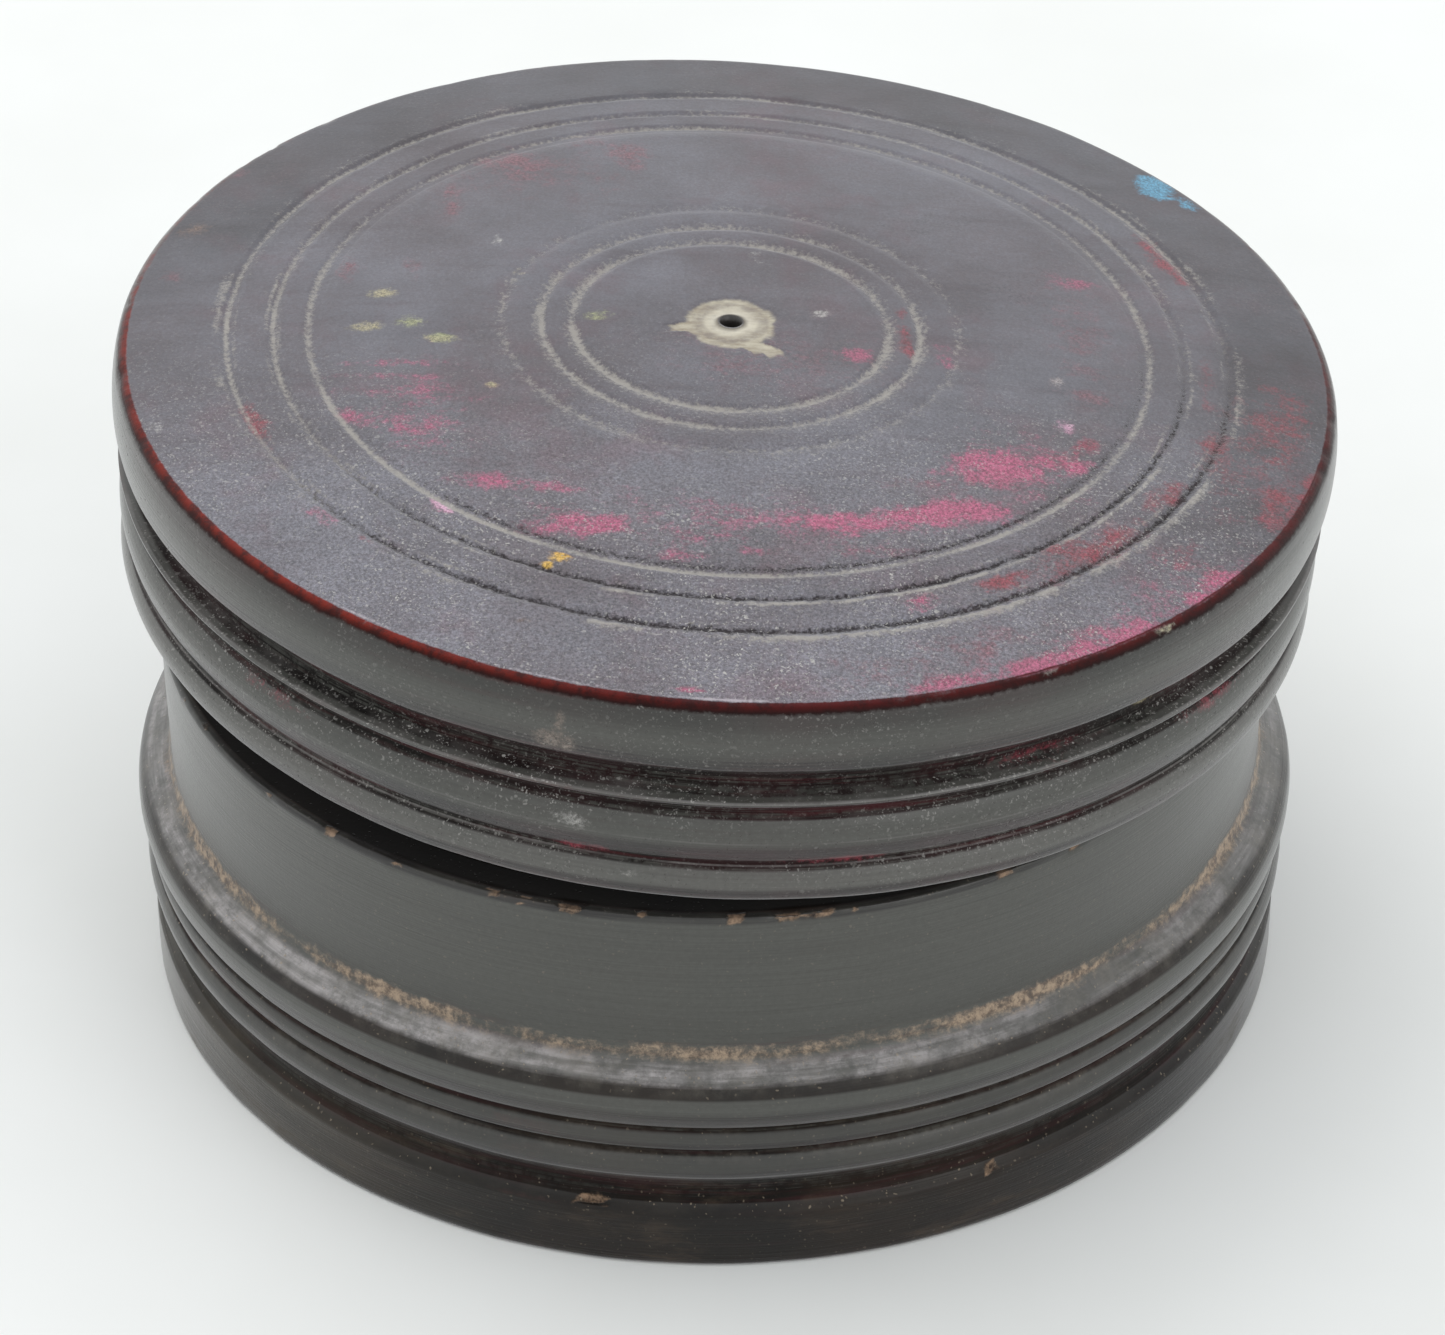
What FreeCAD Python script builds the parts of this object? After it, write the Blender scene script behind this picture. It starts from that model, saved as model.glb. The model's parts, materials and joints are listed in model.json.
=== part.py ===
"""Round turned-wood ink pad: a lacquered base with a moulded foot, a lift-off lid that lies
slightly cocked on it, and a cloth-covered felt pad in the base.

Frame: millimetres, +Z up, origin at the centre of the base's resting face.
"""

import FreeCAD, Part

import os
import re

import Sketcher

DOC = FreeCAD.newDocument("InkPad")

# Driving dimensions: alias, value, what it is. Lid heights are counted from the lid's rim plane.
SIZES = (
    ("recess_r", 33.0, "radius of the shallow recess turned in the underside"),
    ("recess_deep", 0.8, "depth of the recess in the underside"),
    ("foot_r", 43.4, "radius of the plain foot band"),
    ("foot_bevel", 0.3, "bevel at the bottom edge of the foot"),
    ("foot_top", 4.8, "height where the foot band starts to round over"),
    ("cove_low_r", 42.6, "radius at the bottom of the cove above the foot"),
    ("cove_low", 5.5, "height of the bottom of that cove"),
    ("cove_top_r", 42.9, "radius at the top of the cove"),
    ("cove_top", 7.9, "height of the top of the cove"),
    ("cove_bulge", 0.5, "how far the cove goes in behind its chord"),
    ("bead_low_top_r", 43.0, "radius at the top of the lower bead"),
    ("bead_low_top", 10.6, "height of the top of the lower bead"),
    ("bead_low_bulge", 0.85, "how far the lower bead stands out of its chord"),
    ("ridge_top_r", 43.1, "radius at the top of the thin ridge between the beads"),
    ("ridge_top", 12.7, "height of the top of the ridge"),
    ("ridge_bulge", 0.55, "how far the ridge stands out of its chord"),
    ("bead_top_r", 43.95, "radius at the top of the upper bead, where the ledge starts"),
    ("bead_top", 16.2, "height of the top of the upper bead"),
    ("bead_bulge", 0.6, "how far the upper bead stands out of its chord"),
    ("ledge_r", 43.5, "radius of the ledge's rounded arris"),
    ("ledge_edge", 16.8, "height of the ledge at its arris"),
    ("ledge_in_r", 41.8, "radius where the ledge meets the wall"),
    ("ledge_in", 17.8, "height of the ledge at the wall"),
    ("wall_low_r", 41.5, "radius of the wall's narrowest place, just above the ledge"),
    ("wall_low", 19.0, "height of the wall's narrowest place"),
    ("wall_r", 41.75, "radius of the wall at the shoulder"),
    ("shoulder", 30.4, "height of the shoulder that the lid comes down to"),
    ("wall_bevel", 0.2, "bevel of the shoulder's outer edge"),
    ("spigot_r", 38.6, "outer radius of the spigot that the lid goes over"),
    ("spigot_top", 34.4, "height of the spigot's top"),
    ("spigot_bevel", 0.4, "bevel of the spigot's edges"),
    ("well_r", 35.0, "radius of the well that holds the pad"),
    ("well_floor", 18.0, "height of the well's floor"),
    ("rim_r", 44.1, "lid: radius of the rim's lower edge"),
    ("skirt_in_r", 40.6, "lid: radius of the recess, which clears the spigot"),
    ("skirt_bevel", 0.4, "lid: bevel at the mouth of the recess"),
    ("ceiling", 11.0, "lid: height of the recess's ceiling"),
    ("rim_bead_top_r", 43.95, "lid: radius at the top of the rim bead"),
    ("rim_bead_top", 2.9, "lid: height of the top of the rim bead"),
    ("rim_bead_bulge", 0.6, "lid: how far the rim bead stands out of its chord"),
    ("torus_low_r", 43.9, "lid: radius at the bottom of the wide bead"),
    ("torus_low", 3.2, "lid: height of the bottom of the wide bead"),
    ("torus_top_r", 43.8, "lid: radius at the top of the wide bead"),
    ("torus_top", 7.2, "lid: height of the top of the wide bead"),
    ("torus_bulge", 0.85, "lid: how far the wide bead stands out of its chord"),
    ("shelf_r", 44.8, "lid: radius of the sharp shelf under the cove"),
    ("shelf_low", 8.4, "lid: height of the shelf's underside at its edge"),
    ("shelf_edge", 8.65, "lid: height of the shelf's top at its edge"),
    ("hollow_bulge", 0.35, "lid: how far the hollow under the shelf goes in"),
    ("neck_low_r", 43.4, "lid: radius at the bottom of the cove"),
    ("neck_low", 8.9, "lid: height of the bottom of the cove"),
    ("neck_top_r", 44.5, "lid: radius at the top of the cove"),
    ("neck_top", 11.4, "lid: height of the top of the cove"),
    ("neck_bulge", 0.55, "lid: how far the cove goes in behind its chord"),
    ("band_r", 45.0, "lid: radius of the side band at its lower arris"),
    ("band_low", 11.6, "lid: height of the side band's lower arris"),
    ("band_top", 15.6, "lid: height of the side band's top"),
    ("band_bulge", 0.2, "lid: how far the side band swells"),
    ("arris_r", 44.2, "lid: radius where the top face starts"),
    ("arris_top", 16.7, "lid: height of the top face at its edge"),
    ("arris_bulge", 0.25, "lid: how far the rounded top arris stands out of its chord"),
    ("crown", 19.5, "lid: height of the slightly domed top at its centre"),
    ("crown_bulge", 0.7, "lid: how far the dome rises over its chord"),
    ("line_half", 0.25, "lid: half the width of a turned line in the top face"),
    ("line_deep", 0.3, "lid: depth of a turned line"),
    ("line_a", 11.6, "lid: radius of the first turned line"),
    ("line_b", 13.9, "lid: radius of the second turned line"),
    ("line_c", 16.8, "lid: radius of the third turned line"),
    ("line_d", 30.9, "lid: radius of the fourth turned line"),
    ("line_e", 33.5, "lid: radius of the fifth turned line"),
    ("line_f", 36.9, "lid: radius of the sixth turned line"),
    ("pin_hole_r", 0.85, "lid: radius of the pin hole left by the lost knob"),
    ("pin_hole_deep", 5.0, "lid: depth of the pin hole"),
    ("lid_x", 0.164, "where the centre of the lid's rim plane lies, along X"),
    ("lid_y", 1.279, "where it lies along Y"),
    ("lid_z", 33.127, "how high it lies"),
    ("lid_lean", 3.238, "how far the lid leans, in degrees"),
    ("lid_lean_to", -4.84, "the side it leans to, in degrees about Z from +X"),
    ("cloth_gauge", 0.5, "thickness of the pad's cloth"),
    ("cloth_ease", 0.1, "space between the cloth and the felt"),
    ("cloth_tuck", 1.0, "how far under the felt the cloth starts to draw in"),
    ("cloth_slant", 0.24, "how much lower the drawn-in cloth's outside is than its inside"),
    ("hem_r", 24.0, "inner radius of the cloth turned in under the board"),
    ("board_r", 32.8, "radius of the pad's wooden board"),
    ("board_thick", 3.0, "thickness of the board"),
    ("felt_r", 33.9, "radius of the felt"),
    ("felt_low_thick", 5.5, "thickness of the lower felt"),
    ("felt_side", 5.5, "height of the upper felt's straight side"),
    ("felt_round", 2.0, "how far the felt's rounded edge reaches in and up"),
    ("felt_round_bulge", 0.55, "how far that edge stands out of its chord"),
    ("felt_rise", 0.6, "how much higher the felt is at its centre than at the rounded edge"),
    ("felt_rise_bulge", 0.1, "how far its top rises over its chord"),
    ("felt_flat_r", 8.0, "radius of the flat middle of its top"),
    ("thread_thick", 0.6, "thickness of the binding thread"),
    ("thread_pitch", 0.55, "spacing of the binding's turns"),
    ("thread_ease", 0.02, "space between the binding and the cloth"),
)

THREAD_TURNS = 3
TURNED_LINES = ("line_a", "line_b", "line_c", "line_d", "line_e", "line_f")
HOLE_OVERRUN = 0.5  # how far a cutting tool starts outside the surface it enters


def fill_sheet():
    """Puts the driving dimensions in the document's spreadsheet."""
    made = DOC.addObject("Spreadsheet::Sheet", "Sizes")
    for row, (alias, value, meaning) in enumerate(SIZES, 1):
        made.set(f"A{row}", meaning)
        made.set(f"B{row}", str(value))
        made.setAlias(f"B{row}", alias)
    DOC.recompute()
    return made


SHEET = fill_sheet()


def bound(text):
    """The expression that binds a dimension: each alias in text, read from the sheet."""
    return re.sub(r"[a-z]\w*", lambda word: "Sizes." + word.group(0), text)


def value_of(text):
    """The number that an expression of aliases has now."""
    return float(SHEET.evalExpression(text))


def new_body(label):
    """An empty PartDesign body whose label names its node."""
    made = DOC.addObject("PartDesign::Body", label)
    made.Label = label
    return made


def sketch_on(owner, role, name):
    """A sketch on one of the body's own origin planes."""
    plane = next(f for f in owner.Origin.OriginFeatures if f.Role == role)
    made = owner.newObject("Sketcher::SketchObject", name)
    made.AttachmentSupport = [(plane, "")]
    made.MapMode = "FlatFace"
    return made


def bind(target, constraint, expression):
    """Adds a dimension to a sketch and binds it to the sheet."""
    index = target.addConstraint(constraint)
    target.setExpression(f"Constraints[{index}]", bound(expression))


def bind_point(target, geometry, end, radius, height):
    """Holds one end of a sketch edge at a radius and height from the turning axis."""
    if radius == "0":
        target.addConstraint(Sketcher.Constraint("PointOnObject", geometry, end, -2))
    else:
        size = value_of(radius)
        bind(target, Sketcher.Constraint("DistanceX", -1, 1, geometry, end, size), radius)
    if height == "0":
        target.addConstraint(Sketcher.Constraint("PointOnObject", geometry, end, -1))
    else:
        size = value_of(height)
        bind(target, Sketcher.Constraint("DistanceY", -1, 1, geometry, end, size), height)


def add_outline(target, stations):
    """Draws a closed outline through stations of (radius, height) or (radius, height, bulge).

    A station with a bulge is reached by an arc that swells by that much to the right of its
    chord, or to the left where the bulge starts with a minus.
    """
    points = [FreeCAD.Vector(value_of(s[0]), value_of(s[1]), 0) for s in stations]
    edges = []
    for index, point in enumerate(points):
        following = (index + 1) % len(points)
        station, goal = stations[following], points[following]
        if len(station) == 2:
            edge = target.addGeometry(Part.LineSegment(point, goal), False)
            edges.append((edge, 1, 2))
            continue
        swell = value_of(station[2])
        chord = goal - point
        side = FreeCAD.Vector(chord.y, -chord.x, 0).normalize()
        middle = (point + goal) * 0.5 + side * swell
        ends = (point, goal) if swell > 0 else (goal, point)
        edge = target.addGeometry(Part.Arc(ends[0], middle, ends[1]), False)
        edges.append((edge, 1, 2) if swell > 0 else (edge, 2, 1))
        across = f"(({station[0]}) - ({stations[index][0]}))^2"
        up = f"(({station[1]}) - ({stations[index][1]}))^2"
        depth = station[2].lstrip("-")
        radius = f"({across} + {up}) / (8 * {depth}) + {depth} / 2"
        bind(target, Sketcher.Constraint("Radius", edge, value_of(radius)), radius)
    for index, (edge, first, _) in enumerate(edges):
        before, _, last = edges[index - 1]
        target.addConstraint(Sketcher.Constraint("Coincident", before, last, edge, first))
        bind_point(target, edge, first, *stations[index][:2])


def turn(owner, name, stations):
    """Adds a solid turned about the body's Z axis from a closed outline."""
    profile = sketch_on(owner, "XZ_Plane", name + "Profile")
    add_outline(profile, stations)
    made = owner.newObject("PartDesign::Revolution", name)
    made.Profile = profile
    made.ReferenceAxis = (profile, ["V_Axis"])
    made.Angle = 360
    DOC.recompute()
    return made


def make_base():
    """The turned base: foot, cove, two beads with a ridge between, ledge, wall and spigot."""
    body = new_body("base")
    turn(body, "BaseTurning", (
        ("0", "recess_deep"),
        ("recess_r", "recess_deep"),
        ("recess_r", "0"),
        ("foot_r - foot_bevel", "0"),
        ("foot_r", "foot_bevel"),
        ("foot_r", "foot_top"),
        ("cove_low_r", "cove_low"),
        ("cove_top_r", "cove_top", "-cove_bulge"),
        ("bead_low_top_r", "bead_low_top", "bead_low_bulge"),
        ("ridge_top_r", "ridge_top", "ridge_bulge"),
        ("bead_top_r", "bead_top", "bead_bulge"),
        ("ledge_r", "ledge_edge"),
        ("ledge_in_r", "ledge_in"),
        ("wall_low_r", "wall_low"),
        ("wall_r", "shoulder - wall_bevel"),
        ("wall_r - wall_bevel", "shoulder"),
        ("spigot_r", "shoulder"),
        ("spigot_r", "spigot_top - spigot_bevel"),
        ("spigot_r - spigot_bevel", "spigot_top"),
        ("well_r + spigot_bevel", "spigot_top"),
        ("well_r", "spigot_top - spigot_bevel"),
        ("well_r", "well_floor"),
        ("0", "well_floor"),
    ))
    return body


def cut_turned_lines(body):
    """Cuts the fine rings that decorate the lid's top face."""
    profile = sketch_on(body, "XZ_Plane", "TurnedLinesProfile")
    top_radius = "(arris_r^2 + (crown - arris_top)^2) / (2 * (crown - arris_top))"
    for line in TURNED_LINES:
        face = f"(crown - {line}^2 / (2 * {top_radius}))"
        add_outline(profile, (
            (line, f"{face} - line_deep"),
            (f"{line} + 2 * line_half", f"{face} + line_deep"),
            (f"{line} - 2 * line_half", f"{face} + line_deep"),
        ))
    made = body.newObject("PartDesign::Groove", "TurnedLines")
    made.Profile = profile
    made.ReferenceAxis = (profile, ["V_Axis"])
    made.Angle = 360
    DOC.recompute()


def drill_pin_hole(body):
    """Drills the blind hole in the middle of the lid's top."""
    mouth = sketch_on(body, "XY_Plane", "PinHoleMouth")
    mouth.AttachmentOffset = FreeCAD.Placement(FreeCAD.Vector(), FreeCAD.Rotation())
    mouth.setExpression("AttachmentOffset.Base.z", bound("crown") + f" + {HOLE_OVERRUN}")
    circle = Part.Circle(FreeCAD.Vector(), FreeCAD.Vector(0, 0, 1), value_of("pin_hole_r"))
    edge = mouth.addGeometry(circle, False)
    mouth.addConstraint(Sketcher.Constraint("Coincident", edge, 3, -1, 1))
    bind(mouth, Sketcher.Constraint("Radius", edge, value_of("pin_hole_r")), "pin_hole_r")
    made = body.newObject("PartDesign::Pocket", "PinHole")
    made.Profile = mouth
    made.setExpression("Length", bound("pin_hole_deep") + f" + {HOLE_OVERRUN}")
    DOC.recompute()


def place_lid(body):
    """Sets the lid down on the shoulder, a little off centre and cocked."""
    body.Placement = FreeCAD.Placement(
        FreeCAD.Vector(value_of("lid_x"), value_of("lid_y"), value_of("lid_z")),
        FreeCAD.Rotation(FreeCAD.Vector(0, 1, 0), value_of("lid_lean")),
    )
    for letter in "xyz":
        body.setExpression(f"Placement.Base.{letter}", bound(f"lid_{letter}"))
    body.setExpression("Placement.Rotation.Angle", bound("lid_lean"))
    body.setExpression("Placement.Rotation.Axis.x", "-sin(Sizes.lid_lean_to * 1 deg)")
    body.setExpression("Placement.Rotation.Axis.y", "cos(Sizes.lid_lean_to * 1 deg)")
    DOC.recompute()


def make_lid():
    """The turned lid: rim bead, wide bead, sharp shelf, cove, side band and domed top."""
    body = new_body("lid")
    solid = turn(body, "LidTurning", (
        ("0", "ceiling"),
        ("skirt_in_r", "ceiling"),
        ("skirt_in_r", "skirt_bevel"),
        ("skirt_in_r + skirt_bevel", "0"),
        ("rim_r", "0"),
        ("rim_bead_top_r", "rim_bead_top", "rim_bead_bulge"),
        ("torus_low_r", "torus_low"),
        ("torus_top_r", "torus_top", "torus_bulge"),
        ("shelf_r", "shelf_low", "-hollow_bulge"),
        ("shelf_r", "shelf_edge"),
        ("neck_low_r", "neck_low"),
        ("neck_top_r", "neck_top", "-neck_bulge"),
        ("band_r", "band_low"),
        ("band_r", "band_top", "band_bulge"),
        ("arris_r", "arris_top", "arris_bulge"),
        ("0", "crown", "crown_bulge"),
    ))
    before = solid.Shape.Volume
    cut_turned_lines(body)
    lined = body.Shape.Volume
    drill_pin_hole(body)
    drilled = body.Shape.Volume
    if not before > lined > drilled:
        raise RuntimeError("a cut in the lid removed nothing")
    place_lid(body)
    return body


def make_board():
    """The thin wooden disc that the felt and the cloth are mounted on."""
    body = new_body("pad_board")
    low = "well_floor + cloth_gauge"
    high = f"{low} + board_thick"
    turn(body, "BoardTurning", (("0", low), ("board_r", low), ("board_r", high), ("0", high)))
    return body


def make_lower_felt():
    """The lower felt disc."""
    body = new_body("felt_lower")
    low = "well_floor + cloth_gauge + board_thick"
    high = f"{low} + felt_low_thick"
    turn(body, "LowerFelt", (("0", low), ("felt_r", low), ("felt_r", high), ("0", high)))
    return body


def pad_top(ease, base):
    """The stations of the pad's straight side, rounded edge and crown, eased outwards."""
    side = f"{base} + felt_side"
    return (
        (f"felt_r + {ease}", side),
        (f"felt_r - felt_round + {ease} / 2", f"{side} + felt_round + {ease}", "felt_round_bulge"),
        ("felt_flat_r", f"{side} + felt_round + felt_rise + {ease}", "felt_rise_bulge"),
        ("0", f"{side} + felt_round + felt_rise + {ease}"),
    )


def make_upper_felt():
    """The upper felt disc, with its rounded edge and slightly crowned top."""
    body = new_body("felt_upper")
    low = "well_floor + cloth_gauge + board_thick + felt_low_thick"
    turn(body, "UpperFelt", (("0", low), ("felt_r", low)) + pad_top("0", low))
    return body


def make_cloth():
    """The cotton cover: over the felt, drawn in at the board and turned in under it."""
    body = new_body("pad_cloth")
    felt_base = "well_floor + cloth_gauge + board_thick"
    upper_base = f"{felt_base} + felt_low_thick"
    outside = "cloth_ease + cloth_gauge"
    tie_r = "board_r + cloth_ease"
    stations = (
        ("hem_r", "well_floor"),
        (f"{tie_r} + cloth_gauge", "well_floor"),
        (f"{tie_r} + cloth_gauge", f"{felt_base} - cloth_tuck - cloth_slant"),
        (f"felt_r + {outside}", f"{felt_base} - cloth_ease - cloth_slant"),
    ) + pad_top(f"({outside})", upper_base)
    inside = (
        ("hem_r", "well_floor + cloth_gauge"),
        (tie_r, "well_floor + cloth_gauge"),
        (tie_r, f"{felt_base} - cloth_tuck"),
        ("felt_r + cloth_ease", f"{felt_base} - cloth_ease"),
    ) + pad_top("cloth_ease", upper_base)
    turn(body, "ClothTurning", stations + reversed_stations(inside))
    return body


def reversed_stations(stations):
    """The same run of stations drawn the other way, with its bulges on the same side."""
    backwards = []
    for index in range(len(stations) - 1, -1, -1):
        after = stations[index + 1] if index + 1 < len(stations) else ()
        bulge = (f"-{after[2]}",) if len(after) == 3 else ()
        backwards.append(stations[index][:2] + bulge)
    return tuple(backwards)


def make_binding():
    """The turns of thread that tie the cloth round the board, as one ridged ring."""
    body = new_body("pad_binding")
    inner = "board_r + cloth_ease + cloth_gauge + thread_ease"
    outer = f"{inner} + thread_thick"
    valley = f"{inner} + thread_thick / 2"
    low = "well_floor + cloth_gauge"
    high = f"{low} + thread_pitch * {THREAD_TURNS}"
    stations = [(inner, high), (inner, low)]
    for number in range(THREAD_TURNS):
        start = f"{low} + thread_pitch * {number}"
        stations.append((valley, start))
        stations.append((outer, f"{start} + thread_pitch / 4"))
        stations.append((outer, f"{start} + thread_pitch * 3 / 4"))
    stations.append((valley, high))
    turn(body, "Binding", stations)
    return body


def check(parts):
    """Stops if any object failed, or if any sub-part isn't one sound solid."""
    for item in DOC.Objects:
        if "Invalid" in item.State or "Error" in item.State:
            raise RuntimeError(f"{item.Label} failed: {item.State}")
    for item in parts:
        if item.Shape.isNull() or not item.Shape.isValid() or len(item.Shape.Solids) != 1:
            raise RuntimeError(f"{item.Label} isn't one valid solid")


def main():
    """Builds every sub-part, checks them and writes one file for each."""
    parts = [
        make_base(),
        make_board(),
        make_lower_felt(),
        make_upper_felt(),
        make_cloth(),
        make_binding(),
        make_lid(),
    ]
    DOC.recompute()
    check(parts)
    os.makedirs("parts", exist_ok=True)
    for item in parts:
        item.Shape.exportStep(f"parts/{item.Label}.step")
        print(f"{item.Label}: {item.Shape.Volume / 1000:.2f} cm3, {item.Shape.BoundBox}")


main()
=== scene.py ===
"""Looks of the round turned-wood ink pad: lacquered lid and base, and the cloth pad inside."""

import json
import math

import bpy
import numpy as np
from mathutils import Matrix, Vector


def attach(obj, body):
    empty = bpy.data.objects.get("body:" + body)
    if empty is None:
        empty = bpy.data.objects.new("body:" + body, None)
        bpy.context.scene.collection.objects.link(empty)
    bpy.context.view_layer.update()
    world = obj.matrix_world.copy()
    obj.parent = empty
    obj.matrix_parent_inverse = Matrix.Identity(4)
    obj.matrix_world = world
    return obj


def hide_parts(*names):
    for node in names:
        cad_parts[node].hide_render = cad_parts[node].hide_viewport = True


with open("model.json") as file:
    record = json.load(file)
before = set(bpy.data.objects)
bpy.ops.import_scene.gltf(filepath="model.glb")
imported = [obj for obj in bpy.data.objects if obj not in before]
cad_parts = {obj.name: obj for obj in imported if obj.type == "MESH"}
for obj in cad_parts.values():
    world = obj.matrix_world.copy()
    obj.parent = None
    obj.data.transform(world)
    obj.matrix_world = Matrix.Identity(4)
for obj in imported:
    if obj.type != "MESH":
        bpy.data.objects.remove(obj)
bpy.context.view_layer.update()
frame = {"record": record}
MM = 0.001

# ---------------------------------------------------------------- stage: camera, light, floor

CAMERA_ELEVATION = math.radians(34.92)
CAMERA_DISTANCE = 0.42375
CAMERA_TARGET = Vector((0.00064, 0.0, 0.02246))
CAMERA_LENS = 138.4
WORLD_AT_HORIZON = 0.92
WORLD_OVERHEAD = 1.04
WORLD_COLOUR = (0.965, 0.985, 1.0, 1.0)
# Each softbox: name, place, aim, size, power, colour.
SOFTBOXES = (
    ("window_light", (-0.6, 0.4, 1.4), (0, 0, 0.02), 1.1, 4.8, (1.0, 0.985, 0.95)),
    ("room_fill", (0.95, -0.95, 0.8), (0, 0, 0), 0.9, 3.2, (1.0, 0.99, 0.97)),
)
FLOOR_HALF = 4.0


def add(name, data):
    """A new object in the scene."""
    made = bpy.data.objects.new(name, data)
    bpy.context.scene.collection.objects.link(made)
    return made


def add_mesh(name, points, faces, material=None):
    """A smooth-shaded mesh in the scene."""
    mesh = bpy.data.meshes.new(name)
    mesh.from_pydata(points, [], faces)
    mesh.polygons.foreach_set("use_smooth", [True] * len(faces))
    if material is not None:
        mesh.materials.append(material)
    mesh.update()
    return add(name, mesh)


def make_camera():
    """The camera, in front of the object and looking down on it."""
    data = bpy.data.cameras.new("Camera")
    data.lens = CAMERA_LENS
    data.sensor_width = 36.0
    data.clip_start = 0.01
    camera = add("Camera", data)
    look = Vector((0.0, math.cos(CAMERA_ELEVATION), -math.sin(CAMERA_ELEVATION)))
    camera.location = CAMERA_TARGET - look * CAMERA_DISTANCE
    camera.rotation_euler = look.to_track_quat("-Z", "Y").to_euler()
    bpy.context.scene.camera = camera


def make_area_light(name, place, aim, size, power, colour):
    """A square softbox at place, aimed at a point."""
    data = bpy.data.lights.new(name, "AREA")
    data.shape = "SQUARE"
    data.size = size
    data.energy = power
    data.color = colour
    light = add(name, data)
    light.location = place
    light.rotation_euler = (Vector(aim) - Vector(place)).to_track_quat("-Z", "Y").to_euler()


def make_world():
    """A pale room, brightest overhead, shown without tone mapping."""
    bpy.context.scene.view_settings.view_transform = "Standard"
    world = bpy.data.worlds.new("World")
    bpy.context.scene.world = world
    world.use_nodes = True
    tree = world.node_tree
    background = tree.nodes["Background"]
    direction = tree.nodes.new("ShaderNodeTexCoord").outputs["Generated"]
    split = tree.nodes.new("ShaderNodeSeparateXYZ")
    rise = tree.nodes.new("ShaderNodeMapRange")
    for key, value in (("From Min", -0.05), ("From Max", 0.9),
                       ("To Min", WORLD_AT_HORIZON), ("To Max", WORLD_OVERHEAD)):
        rise.inputs[key].default_value = value
    background.inputs["Color"].default_value = WORLD_COLOUR
    tree.links.new(direction, split.inputs[0])
    tree.links.new(split.outputs[2], rise.inputs["Value"])
    tree.links.new(rise.outputs[0], background.inputs["Strength"])


# ---------------------------------------------------------------- node helpers


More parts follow.
